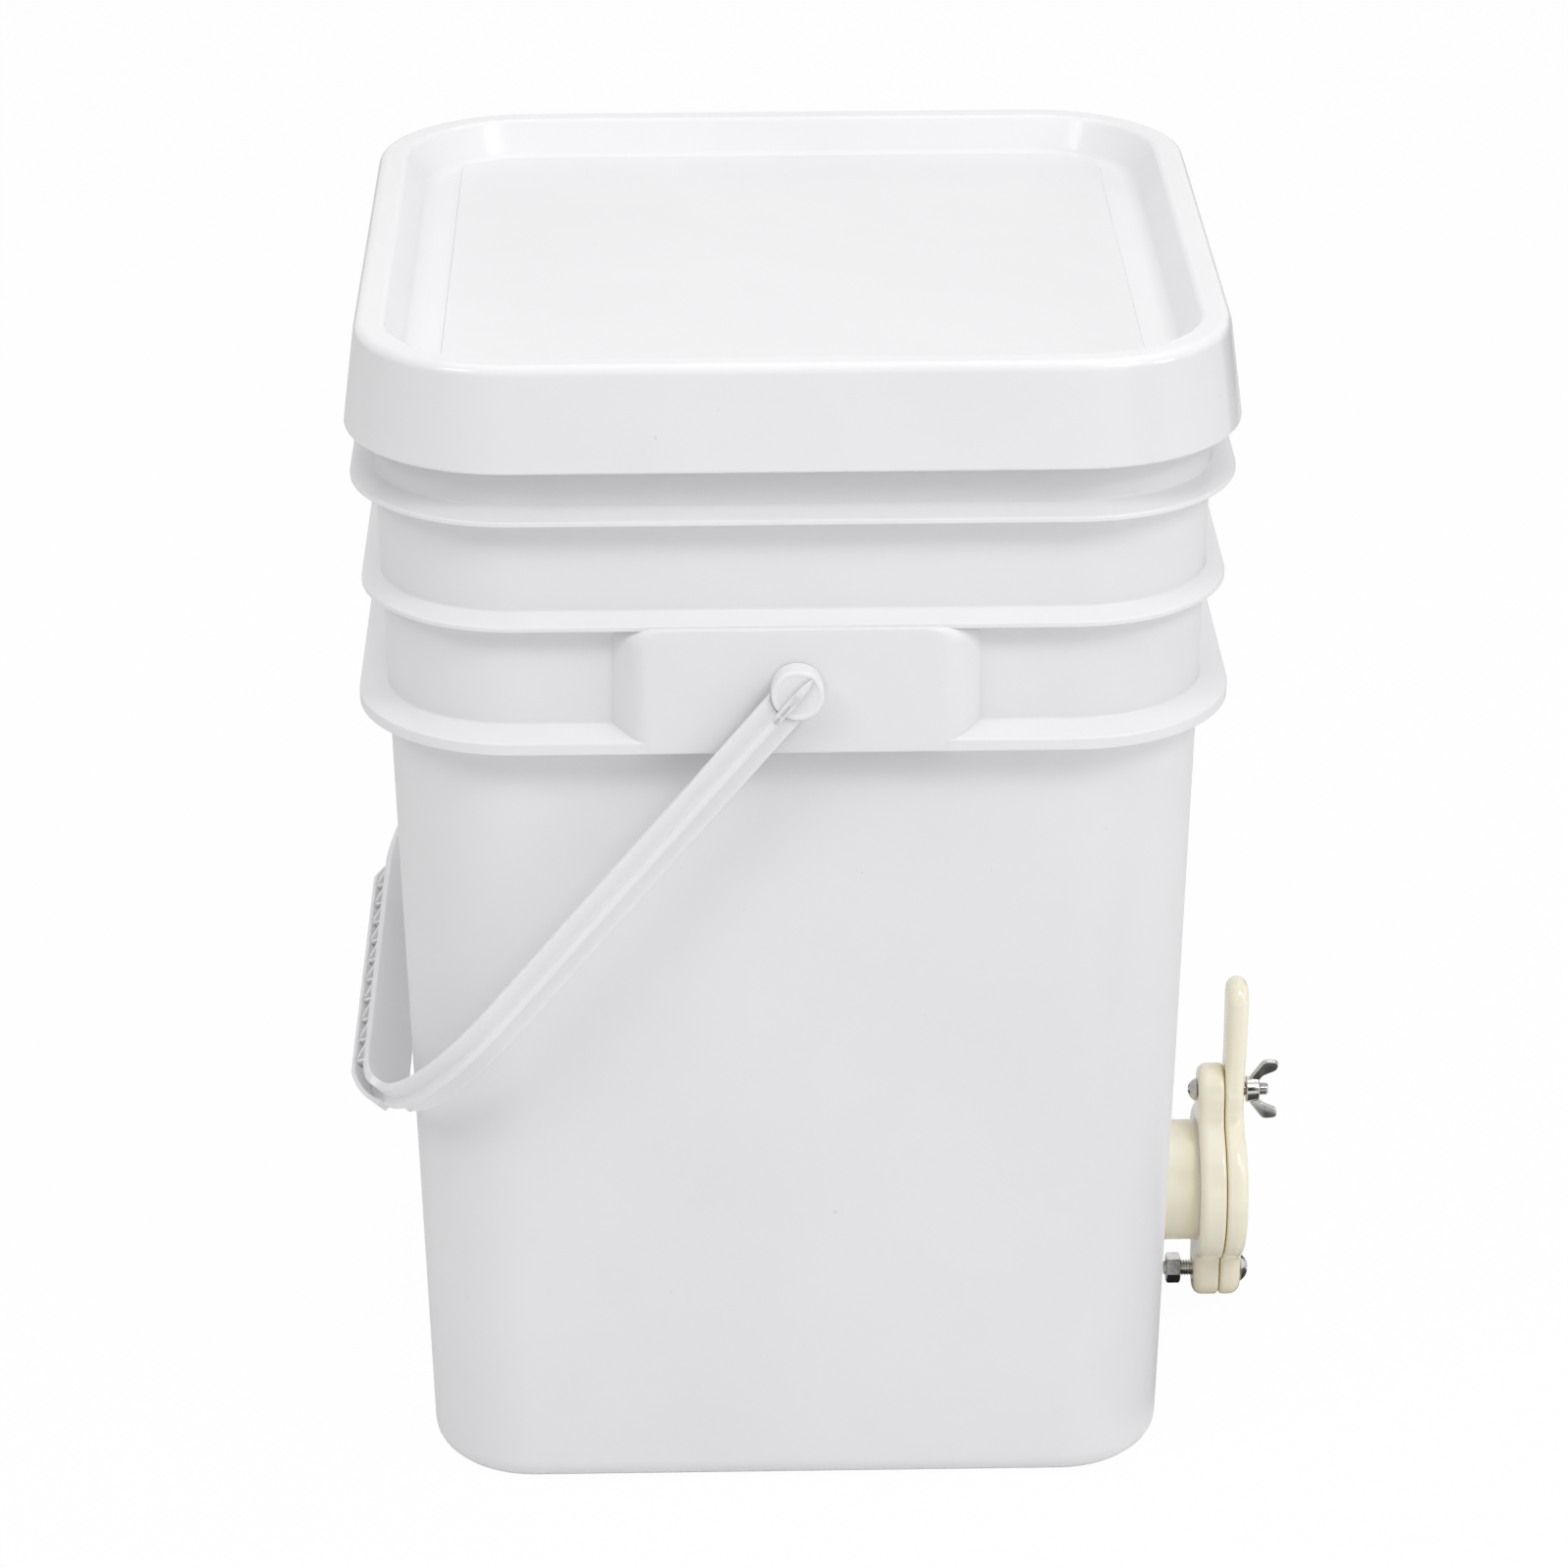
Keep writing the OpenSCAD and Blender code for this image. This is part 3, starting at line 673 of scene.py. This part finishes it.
def tub_profile():
    """The tub's (r, z) profile, from the middle of its underside up the outside and down the inside."""
    corners = [(0, 0, 0), (wall_r(0), 0, BASE_EDGE_R)]
    for z, reach, edge in RIBS:
        foot = z - edge/2
        top = z + edge/2
        out = wall_r(z) + reach
        root = top + RIB_RISE
        corners += [(wall_r(foot), foot, 0.8), (out, foot, 0.5), (out, top, 0.7), (wall_r(root), root, 1.0)]
    corners += [(wall_r(BEAD_FOOT), BEAD_FOOT, 0.6), (RIM_R, BEAD_Z, 0.8), (RIM_R, RIM_Z, 1.4),
                (wall_r(RIM_Z) - WALL_T, RIM_Z, 0.9), (wall_r(FLOOR_T) - WALL_T, FLOOR_T, FLOOR_EDGE_R),
                (0, FLOOR_T, 0)]
    return rounded(corners, 5)


def tub_cutters():
    """The hole for the gate's spigot and the pockets behind the ears."""
    wall_x = 130
    half = 16
    bm = bmesh.new()
    hole = [(0, -half), (PAD_HOLE_R, -half), (PAD_HOLE_R, half), (0, half)]
    lathe(bm, hole, (wall_x, 0, GATE_Z), "X", n=64)
    inside = EAR_HALF - EAR_T
    for side in (-1, 1):
        low, high = sorted((side*POCKET_BACK, side*POCKET_FRONT))
        box(bm, (-inside, low, POCKET_FOOT), (inside, high, POCKET_TOP))
    return bm


def make_tub():
    """The tub's shell, and as a second piece its ears and the pad for the gate."""
    bm = bmesh.new()
    swept(bm, tub_profile())
    tub = to_object("tub", bm)
    cut(tub, tub_cutters())
    finish_piece(tub, "bucket_body", "tub", TUB_WHITE)
    bm = bmesh.new()
    for side in (-1, 1):
        ear(bm, side)
    pad = [(PAD_HOLE_R, PAD_BACK, 0), (PAD_HOLE_R, PAD_X, 0.4), (PAD_R, PAD_X, 1.0),
           (PAD_SKIRT_R, PAD_BACK + 1.0, 0.8), (PAD_FOOT_R, PAD_BACK, 0)]
    lathe(bm, rounded(pad, 4), (0, 0, GATE_Z), "X", n=72, wrap=True)
    extras = to_object("tub_ears_and_pad", bm)
    finish_piece(extras, "bucket_body", "tub", TUB_WHITE)


# Lid


def skirt_r(z):
    """Corner radius of the inside of the lid's skirt at height z."""
    slope = SKIRT_SPREAD/(LID_TOP - LID_FOOT - LID_BROW)
    return RIM_R + LID_GAP + (RIM_Z - z)*slope


def lid_profile():
    """The lid's (r, z) profile, from the middle of its recess over the rim and skirt and back underneath."""
    bead_r = RIM_R + LID_GAP
    top_r = skirt_r(LID_TOP - LID_BROW) + LID_T
    skirt_foot = skirt_r(LID_FOOT)
    ceiling = LID_TOP - LID_T
    underside = LID_FLOOR - LID_T
    slant = math.atan2(LID_TOP - LID_FLOOR, RECESS_TOP_R - RECESS_R)
    back_r = RECESS_R + (ceiling - LID_FLOOR)/math.tan(slant) + LID_T/math.sin(slant)
    foot_r = RECESS_R + LID_T*math.tan(slant/2)
    outside = [(0, LID_FLOOR, 0), (RECESS_R, LID_FLOOR, 6.0), (RECESS_TOP_R, LID_TOP, 2.6),
               (top_r, LID_TOP, 3.7), (skirt_foot + LID_T, LID_FOOT, 1.05)]
    inside = [(skirt_foot, LID_FOOT, 1.05), (skirt_r(SNAP_FOOT), SNAP_FOOT, 0.8), (bead_r, SNAP_MIDDLE, 0.8),
              (skirt_r(SNAP_TOP), SNAP_TOP, 0.6), (skirt_r(RIM_Z), RIM_Z, 0.4), (bead_r, ceiling, 0.8),
              (back_r, ceiling, 1.2), (foot_r, underside, 1.2), (0, underside, 0)]
    return rounded(outside + inside, 6)


def lid_panel(bm):
    """The raised panel, which reaches the recess's front and back walls and leaves a gutter at its sides."""
    side = math.degrees(math.acos((PANEL_HALF - CORNER)/PANEL_R))
    outline = []
    for sx, sy, start, end in ((1, 1, side, 90), (-1, 1, 90, 180 - side), (-1, -1, 180 + side, 270),
                               (1, -1, 270, 360 - side)):
        outline += arc(sx*CORNER, sy*CORNER, PANEL_R, start, end, 12)
    loops = []
    for back, rise in PANEL_EDGE:
        z = LID_FLOOR + rise
        loops.append([(x - math.copysign(back, x), y - math.copysign(back, y), z) for x, y in outline])
    cap(bm, loft(bm, loops))


def make_lid():
    """The lid's shell with its panel."""
    bm = bmesh.new()
    swept(bm, lid_profile())
    lid_panel(bm)
    finish_piece(to_object("lid_shell", bm), "lid", "lid", LID_WHITE)


# Bail, drawn flat with its pivots on the Y axis and its strap along +X, then swung to its rest


def strap_section(half):
    """The strap's outline in (outward, width), with its ridge."""
    foot = RIDGE_HALF + RIDGE_FLARE
    top = RIDGE_HALF - RIDGE_TAPER
    corners = [(-STRAP_T, -half, 0.9), (-STRAP_T, half, 0.9), (0, half, 0.8), (0, foot, 0.7),
               (RIDGE_H, top, 0.8), (RIDGE_H, -top, 0.8), (0, -foot, 0.7), (0, -half, 0.8)]
    return rounded(corners, 3, closed=True)


def strap_stations():
    """Places along the strap as (x, y, outward x, outward y, half width)."""
    side = [(x, BAIL_OUT, 0, 1, STRAP_HALF) for x in ARM_STATIONS]
    for t in BEND_STATIONS:
        a = math.radians(t)
        share = min(1.0, max(0.0, (GRIP_START - t)/GRIP_WIDENING))
        share = share*share*(3 - 2*share)
        half = STRAP_HALF + (GRIP_HALF - STRAP_HALF)*share
        nx, ny = math.cos(a), math.sin(a)
        side.append((BEND_X + BEND_R*nx, BEND_Y + BEND_R*ny, nx, ny, half))
    return side + [(x, -y, nx, -ny, half) for x, y, nx, ny, half in reversed(side)]


def band_stations(steps=14):
    """Places along the grip's outer band as (foot of its web, outer face, way out, half width)."""
    bend = Vector((BEND_X, BEND_Y))
    centre = Vector((BAIL_REACH + GRIP_DEPTH - BAND_R, BEND_Y))
    side = []
    for k in range(steps, -1, -1):
        a = BAND_ARC*k/steps
        way = Vector((math.cos(a), math.sin(a)))
        face = centre + way*BAND_R
        foot = bend + (face - bend).normalized()*(BEND_R - STRAP_T/2)
        half = GRIP_HALF + (RIDGE_HALF - GRIP_HALF)*math.sin(a)/math.sin(BAND_ARC)
        side.append((foot, face, way, half))
    flip = Vector((1, -1))
    return side + [(foot*flip, face*flip, way*flip, half) for foot, face, way, half in reversed(side)]


def grip_band(bm):
    """The band on the outside of the grip and the web that joins it to the strap."""
    band = []
    web = []
    for foot, face, way, half in band_stations():
        corners = [(-BAND_T, -half, 0.6), (-BAND_T, half, 0.6), (0, half, 0.7), (0, -half, 0.7)]
        band.append([(*(face + way*d), w) for d, w in rounded(corners, 3, closed=True)])
        top = face - way*BAND_T/2
        web.append([(*foot, -RIDGE_HALF), (*top, -RIDGE_HALF), (*top, RIDGE_HALF), (*foot, RIDGE_HALF)])
    cap(bm, loft(bm, band))
    cap(bm, loft(bm, web))


def grip_ribs(bm):
    """A zigzag of slanted ribs between the strap and the band, with their ends sunk into both."""
    pitch = 2*BEND_Y/GRIP_RIBS
    half = GRIP_HALF - GRIP_RIB_INSET
    t = GRIP_RIB_HALF
    section = rounded([(-t, -half, 0.5), (t, -half, 0.5), (t, half, 0.5), (-t, half, 0.5)], 3, closed=True)
    for i in range(GRIP_RIBS):
        ends = [-BEND_Y + i*pitch, -BEND_Y + (i + 1)*pitch]
        if i % 2:
            ends.reverse()
        foot = Vector((BAIL_REACH - GRIP_RIB_FOOT, ends[0], 0))
        top = Vector((BAIL_REACH + GRIP_DEPTH - GRIP_RIB_TOP, ends[1], 0))
        along = (top - foot).normalized()
        across = Vector((-along.y, along.x, 0))
        cap(bm, loft(bm, [[p + across*d + Vector((0, 0, w)) for d, w in section] for p in (foot, top)]))


def pivot_boss(bm, side):
    """A dished boss on one arm with its pin, and the ridge that runs out to a point across it."""
    boss_in = EAR_FACE + BOSS_PLAY
    boss_out = BAIL_OUT + RIDGE_H/2
    dish = boss_out - BOSS_DISH
    boss = [(0, boss_in, 0), (BOSS_R, boss_in, 0.5), (BOSS_R, boss_out, 0.9),
            (BOSS_R - BOSS_RIM, boss_out, 0.4), (BOSS_R - BOSS_FLAT, dish, 0.4), (0, dish, 0)]
    root = boss_in + 1
    head = EAR_FACE - EAR_T - BOSS_PLAY
    tip = head - PIN_TIP_L
    pin = [(0, root, 0), (PIN_R, root, 0), (PIN_R, head, 0), (PIN_HEAD_R, head, 0.3), (PIN_TIP_R, tip, 0.4),
           (0, tip, 0)]
    for profile in (boss, pin):
        lathe(bm, [(r, side*h) for r, h in rounded(profile, 4)], (0, 0, 0), "Y", n=64)
    sunk = 0.2
    loops = []
    for x, half, rise in RIDGE_END:
        edge = rise - 0.5
        section = [(-half, sunk), (-half, edge), (-0.5*half, rise),
                   (0.5*half, rise), (half, edge), (half, sunk)]
        loops.append([(x, side*(BAIL_OUT + h), w) for w, h in section])
    cap(bm, loft(bm, loops))


def boss_grooves():
    """The grooves that part the bosses from the strap."""
    inner = BOSS_R - 0.2
    outer = BOSS_R + 0.55
    floor = BAIL_OUT - 0.8
    top = BAIL_OUT + 5
    bm = bmesh.new()
    for side in (-1, 1):
        groove = [(inner, floor), (outer, floor), (outer, top), (inner, top)]
        lathe(bm, [(r, side*h) for r, h in groove], (0, 0, 0), "Y", n=64, wrap=True)
    return bm


def swing_bail(bm):
    """Turns what was drawn flat to where the bail hangs."""
    turn = Matrix.Translation((0, 0, PIVOT_Z)) @ Matrix.Rotation(BAIL_TURN, 4, "Y")
    bmesh.ops.transform(bm, matrix=turn, verts=bm.verts)


def make_bail():
    """The bail's strap, and as a second piece its grip, bosses and pins."""
    bm = bmesh.new()
    loops = []
    for x, y, nx, ny, half in strap_stations():
        loops.append([(x + nx*d, y + ny*d, w) for d, w in strap_section(half)])
    cap(bm, loft(bm, loops))
    swing_bail(bm)
    strap = to_object("bail_strap", bm)
    grooves = boss_grooves()
    swing_bail(grooves)
    cut(strap, grooves)
    finish_piece(strap, "bail_handle", "bail", BAIL_WHITE)
    bm = bmesh.new()
    grip_band(bm)
    grip_ribs(bm)
    for side in (-1, 1):
        pivot_boss(bm, side)
    swing_bail(bm)
    finish_piece(to_object("bail_grip_and_bosses", bm), "bail_handle", "bail", BAIL_WHITE)


# Gate, its outlines in (y, z) from the middle of the outlet


def half_outline(top):
    """The right half of a lugged disc from its lowest point up, ending with the points in top."""
    across = LUG_R + LUG_FILLET
    rise = math.sqrt((DISC_R + LUG_FILLET)**2 - across**2)
    join = math.degrees(math.atan2(rise, across))
    out = arc(0, -SCREW_OFFSET, LUG_R, -90, 0, 12)
    out += arc(across, -rise, LUG_FILLET, 180, 180 - join, 8)
    out += arc(0, 0, DISC_R, -join, join, 40)
    out += arc(across, rise, LUG_FILLET, 180 + join, 180, 8)
    return out + top


def left_half(right):
    """The mirror image of a right half, from its top down."""
    return [(-y, z) for y, z in reversed(right)]


def gate_profile():
    """The (r, x) profile of the gate's barrel and its threaded spigot, closed round the bore."""
    first_ridge = 112.0
    bore = [(BORE_R, FLANGE_X, 0), (BORE_R, SPIGOT_END, 0.6)]
    spigot = [(SPIGOT_TIP_R, SPIGOT_END, 0.5)]
    for k in range(SPIGOT_TURNS):
        x = first_ridge + SPIGOT_PITCH*k
        spigot += [(SPIGOT_ROOT_R, x, 0.3), (SPIGOT_R, x + 1.3, 0.4), (SPIGOT_R, x + 1.9, 0.4)]
    # The barrel's flare starts just inside the flange, so that no two faces lie in one plane.
    flare = FLANGE_X + 0.3
    end = FLANGE_X + 1.3
    barrel = [(SPIGOT_R, PAD_X, 0.3), (BARREL_R, PAD_X, 0.8), (BARREL_R, flare, 3.0),
              (BARREL_FLARE_R, flare, 0), (BARREL_FLARE_R, end, 0), (BORE_R, end, 0)]
    return rounded(bore + spigot + barrel, 4)


def make_gate_body():
    """The gate's flange with its lugs, barrel and spigot."""
    right = half_outline(arc(0, SCREW_OFFSET, LUG_R, 0, 90, 12))
    outline = [(y, z, 1.0, 1.0) for y, z in spaced_loop(right + left_half(right))]
    holes = [(0, 0, BORE_R), (0, SCREW_OFFSET, CLAMP_HOLE_R), (0, -SCREW_OFFSET, PIVOT_HOLE_R)]
    bm = bmesh.new()
    slab(bm, outline, FLANGE_X, FLANGE_X + FLANGE_T, r0=3.4, r1=1.3, holes=holes)
    lathe(bm, gate_profile(), (0, 0, GATE_Z), "X", n=72, wrap=True)
    finish_piece(to_object("gate_casting", bm), "gate_body", "tub", CREAM)


def slot_notch(reach, steps=6):
    """The open slot for the clamp screw, which runs at this reach round the pivot screw."""
    mouth = math.degrees(math.asin(SLOT_MOUTH/reach))
    turns = [math.radians(mouth*i/steps) for i in range(steps + 1)]

    def along(r, angles):
        """One side of the slot."""
        return [(r*math.sin(t), r*math.cos(t) - SCREW_OFFSET) for t in angles]

    end = arc(0, SCREW_OFFSET, SLOT_HALF, 270, 90, 12)[1:-1]
    return along(reach - SLOT_HALF, reversed(turns)) + end + along(reach + SLOT_HALF, turns)


def edge_shares(z):
    """Shares of the plate's edge radii at height z: its flat face has a small edge, its lever a full one."""
    lever = min(1.0, max(0.0, (z - LEVER_FOOT)/LEVER_BLEND))
    return (PLATE_EDGE_SHARE + (1 - PLATE_EDGE_SHARE)*lever, 1.0)


def plate_outline():
    """The closing plate's outline with its lever, its slot and the shares of its edge radii."""
    reach = 2*SCREW_OFFSET
    clear = SLOT_HALF + 0.1
    lug = arc(0, SCREW_OFFSET, LUG_R, 0, 30, 6)
    right = spaced(half_outline(lug + LEVER_SIDE + arc(0, LEVER_END_Z, LEVER_END_R, 0, 90, 14)))

    def from_pivot(p):
        """How far a point is from the pivot screw."""
        return math.hypot(p[0], p[1] + SCREW_OFFSET)

    below = [p for p in right if from_pivot(p) < reach - clear]
    above = [p for p in right if from_pivot(p) > reach + clear]
    outline = [(*p, *edge_shares(p[1])) for p in below]
    outline += [(*p, SLOT_EDGE_SHARE, SLOT_EDGE_SHARE) for p in slot_notch(reach)]
    outline += [(*p, *edge_shares(p[1])) for p in above + left_half(right)[1:]]
    return spaced_loop(outline)


def plate_dent(z):
    """How far the plate's outer face dips at the upper lug."""
    return -DENT_DEPTH*math.exp(-((z - DENT_Z)/DENT_REACH)**2)


def make_gate_plate():
    """The closing plate with its lever."""
    bm = bmesh.new()
    holes = [(0, -SCREW_OFFSET, PIVOT_HOLE_R)]
    slab(bm, plate_outline(), PLATE_X, PLATE_X + PLATE_T, r0=3.7, r1=4.0, holes=holes, dent=plate_dent)
    finish_piece(to_object("gate_plate_and_lever", bm), "gate_plate", "closing_plate", CREAM)


def dome(d, h, n=8):
    """A screw head's profile from its rim to its crown, as (r, height)."""
    r = (h*h + d*d/4)/(2*h)
    start = math.degrees(math.asin((r - h)/r))
    return arc(0, h - r, r, start, 90, n)


def make_screw(name, node, d, pitch, tip, head_seat, head_d, head_h):
    """A cross-slotted screw along X. Its head points away from its tip."""
    rim = 0.25
    slot_deep = 1.5
    sunk = 0.5
    way = 1 if head_seat > tip else -1
    z = GATE_Z + (SCREW_OFFSET if way < 0 else -SCREW_OFFSET)
    bm = bmesh.new()
    thread(bm, d, pitch, tip, head_seat + sunk*way, z)
    profile = [(0, 0), (head_d/2 - rim, 0), (head_d/2, rim)]
    profile += [(r, rim + h) for r, h in dome(head_d, head_h - rim)]
    lathe(bm, [(r, way*h) for r, h in profile], (head_seat, 0, z), "X")
    screw = to_object(name, bm, sharp=30)
    low, high = sorted((head_seat + way*(head_h - slot_deep), head_seat + way*(head_h + 2)))
    long = head_d*0.26
    narrow = head_d*0.06
    cross = bmesh.new()
    for y, h in ((long, narrow), (narrow, long)):
        box(cross, (low, -y, z - h), (high, y, z + h))
    cut(screw, cross, crossing=True)
    finish_piece(screw, node, "tub", STEEL)


def wing(bm, way, seat, z):
    """One wing of the wing nut, up or down, thicker towards its tip."""
    tip = rounded(WING, 6, closed=True)
    normals = outward(tip)
    loops = []
    for y, back in WING_SECTION:
        loop = []
        for p, v in zip(tip, normals):
            h = p[0] - v.x*back
            x = p[1] - v.y*back
            thicker = 1 + WING_GROWTH*max(0.0, (h - WING_ROOT)/WING_ROOT)
            loop.append((seat + x, y*way*thicker, z + way*h))
        loops.append(loop)
    cap(bm, loft(bm, loops))


def make_wing_nut():
    """The wing nut's hub and its two wings."""
    seat = PLATE_X + PLATE_T + SEAT_GAP
    z = GATE_Z + SCREW_OFFSET
    bm = bmesh.new()
    lathe(bm, rounded(HUB, 3), (seat, 0, z), "X", wrap=True)
    for way in (-1, 1):
        wing(bm, way, seat, z)
    finish_piece(to_object("wing_nut_winged", bm, sharp=34), "wing_nut", "wing_nut", STEEL)


def make_nuts():
    """The pivot screw's nut and the lock nut inside the tub."""
    bm = bmesh.new()
    hexagon(bm, across=10.0, bore=PIVOT_HOLE_R, t=5.2, x0=142.36, z=GATE_Z - SCREW_OFFSET)
    finish_piece(to_object("pivot_hex_nut", bm, sharp=24), "pivot_nut", "tub", STEEL)
    bm = bmesh.new()
    hexagon(bm, across=56.0, bore=20.58, t=10.0, x0=114.79, z=GATE_Z, turn=math.radians(30))
    finish_piece(to_object("gate_hex_lock_nut", bm, sharp=24), "gate_lock_nut", "tub", CREAM)


paint_gaskets()
make_tub()
make_lid()
make_bail()
make_gate_body()
make_gate_plate()
make_screw("clamp_dome_screw", "clamp_screw", d=5.0, pitch=0.8,
           tip=178.66, head_seat=151.86, head_d=8.5, head_h=3.2)
make_screw("pivot_dome_screw", "pivot_screw", d=6.0, pitch=1.0,
           tip=141.36, head_seat=170.26, head_d=10.5, head_h=3.1)
make_wing_nut()
make_nuts()


# Stage, light and camera, in metres


def plain_floor():
    """A white floor that takes faint shadows, almost all of its look to the camera being plain white."""
    bpy.ops.mesh.primitive_plane_add(size=14, location=(0, 0, 0))
    floor = bpy.context.object
    floor.name = "floor"
    paint = Paint("floor_white")
    paint.set("Base Color", (0.9, 0.9, 0.9, 1))
    paint.set("Roughness", 0.9)
    glow = paint.nodes.new("ShaderNodeEmission")
    glow.inputs["Color"].default_value = (1, 1, 1, 1)
    glow.inputs["Strength"].default_value = 1.0
    path = paint.nodes.new("ShaderNodeLightPath")
    share = paint.nodes.new("ShaderNodeMath")
    share.operation = "MULTIPLY"
    share.inputs[1].default_value = 0.97
    mix = paint.nodes.new("ShaderNodeMixShader")
    paint.links.new(path.outputs["Is Camera Ray"], share.inputs[0])
    paint.links.new(share.outputs["Value"], mix.inputs["Fac"])
    paint.links.new(paint.shader.outputs["BSDF"], mix.inputs[1])
    paint.links.new(glow.outputs["Emission"], mix.inputs[2])
    paint.links.new(mix.outputs["Shader"], paint.nodes["Material Output"].inputs["Surface"])
    floor.data.materials.append(paint.material)


def white_world():
    """A world that is white to the camera and in reflections, and a softer light otherwise."""
    world = bpy.data.worlds.new("studio")
    scene.world = world
    world.use_nodes = True
    nodes = world.node_tree.nodes
    links = world.node_tree.links
    path = nodes.new("ShaderNodeLightPath")
    seen = nodes.new("ShaderNodeMath")
    seen.operation = "MAXIMUM"
    level = nodes.new("ShaderNodeMapRange")
    level.inputs["To Min"].default_value = 0.48
    level.inputs["To Max"].default_value = 1.0
    background = nodes["Background"]
    background.inputs["Color"].default_value = (1, 1, 1, 1)
    links.new(path.outputs["Is Camera Ray"], seen.inputs[0])
    links.new(path.outputs["Is Glossy Ray"], seen.inputs[1])
    links.new(seen.outputs["Value"], level.inputs["Value"])
    links.new(level.outputs["Result"], background.inputs["Strength"])


def put(obj, place, aim):
    """Adds an object to the scene at a place, its -Z side turned to the aim."""
    scene.collection.objects.link(obj)
    obj.location = place
    obj.rotation_euler = (Vector(aim) - Vector(place)).to_track_quat("-Z", "Y").to_euler()


def area_light(name, place, aim, size, power):
    """A square soft light."""
    data = bpy.data.lights.new(name, "AREA")
    data.shape = "SQUARE"
    data.size = size
    data.energy = power
    lamp = bpy.data.objects.new(name, data)
    put(lamp, place, aim)
    return lamp


def dark_card(name, place, aim, width, height):
    """A dark card that only reflections see, so that polished steel has something to mirror."""
    bm = bmesh.new()
    bmesh.ops.create_grid(bm, x_segments=1, y_segments=1, size=0.5)
    mesh = bpy.data.meshes.new(name)
    bm.to_mesh(mesh)
    bm.free()
    paint = Paint(name)
    paint.set("Base Color", (0.015, 0.015, 0.015, 1))
    mesh.materials.append(paint.material)
    card = bpy.data.objects.new(name, mesh)
    put(card, place, aim)
    card.scale = (width, height, 1)
    card.visible_camera = False
    card.visible_diffuse = False
    card.visible_shadow = False
    card.visible_transmission = False


def light_scene():
    """Two keys, three weaker lights, and the cards that the steel mirrors."""
    middle = (0, 0, 0.3)
    area_light("right_key", (1.05, -1.25, 1.82), middle, size=0.62, power=11.5)
    area_light("left_key", (-1.21, -1.09, 1.82), middle, size=0.62, power=7.2)
    area_light("top_soft", (0.1, 0.2, 1.9), middle, size=1.5, power=6.6)
    area_light("right_soft", (1.6, -0.8, 0.8), (0.1, 0, 0.15), size=0.45, power=3.2)
    # This one fills the gap behind the hanging grip. It isn't mirrored, or the lid's recess would glare.
    front = area_light("front_soft", (-0.35, -1.3, 2.2), middle, size=0.7, power=5.5)
    front.visible_glossy = False
    gate = (0.17, 0, 0.08)
    dark_card("card_near", (0.24, -0.0875, 0.003), (0.24, -0.0875, 1.0), 0.2, 0.195)
    dark_card("card_strip", (0.24, -0.262, 0.003), (0.24, -0.262, 1.0), 0.2, 0.08)
    dark_card("card_front", (0.215, -0.2, 0.17), (0.16, 0, 0.03), 0.11, 0.14)
    dark_card("card_right", (1.0, -0.9, 0.35), gate, 0.5, 0.7)
    dark_card("card_far", (0.9, 0.9, 0.3), gate, 0.6, 0.6)


def place_camera():
    """The camera that was fitted to the photo."""
    data = bpy.data.cameras.new("camera")
    data.sensor_width = 36.0
    data.lens = 124.2
    data.clip_end = 50
    camera = bpy.data.objects.new("camera", data)
    scene.collection.objects.link(camera)
    right = Vector((0.99978, -0.02072, -0.00303))
    up = Vector((0.01102, 0.39713, 0.91770))
    back = Vector((-0.01781, -0.91753, 0.39727))
    place = Vector((-0.03666, -1.80425, 0.99589))
    camera.matrix_world = Matrix.Translation(place) @ Matrix((right, up, back)).transposed().to_4x4()
    scene.camera = camera


plain_floor()
white_world()
light_scene()
place_camera()
scene.view_settings.view_transform = "Standard"
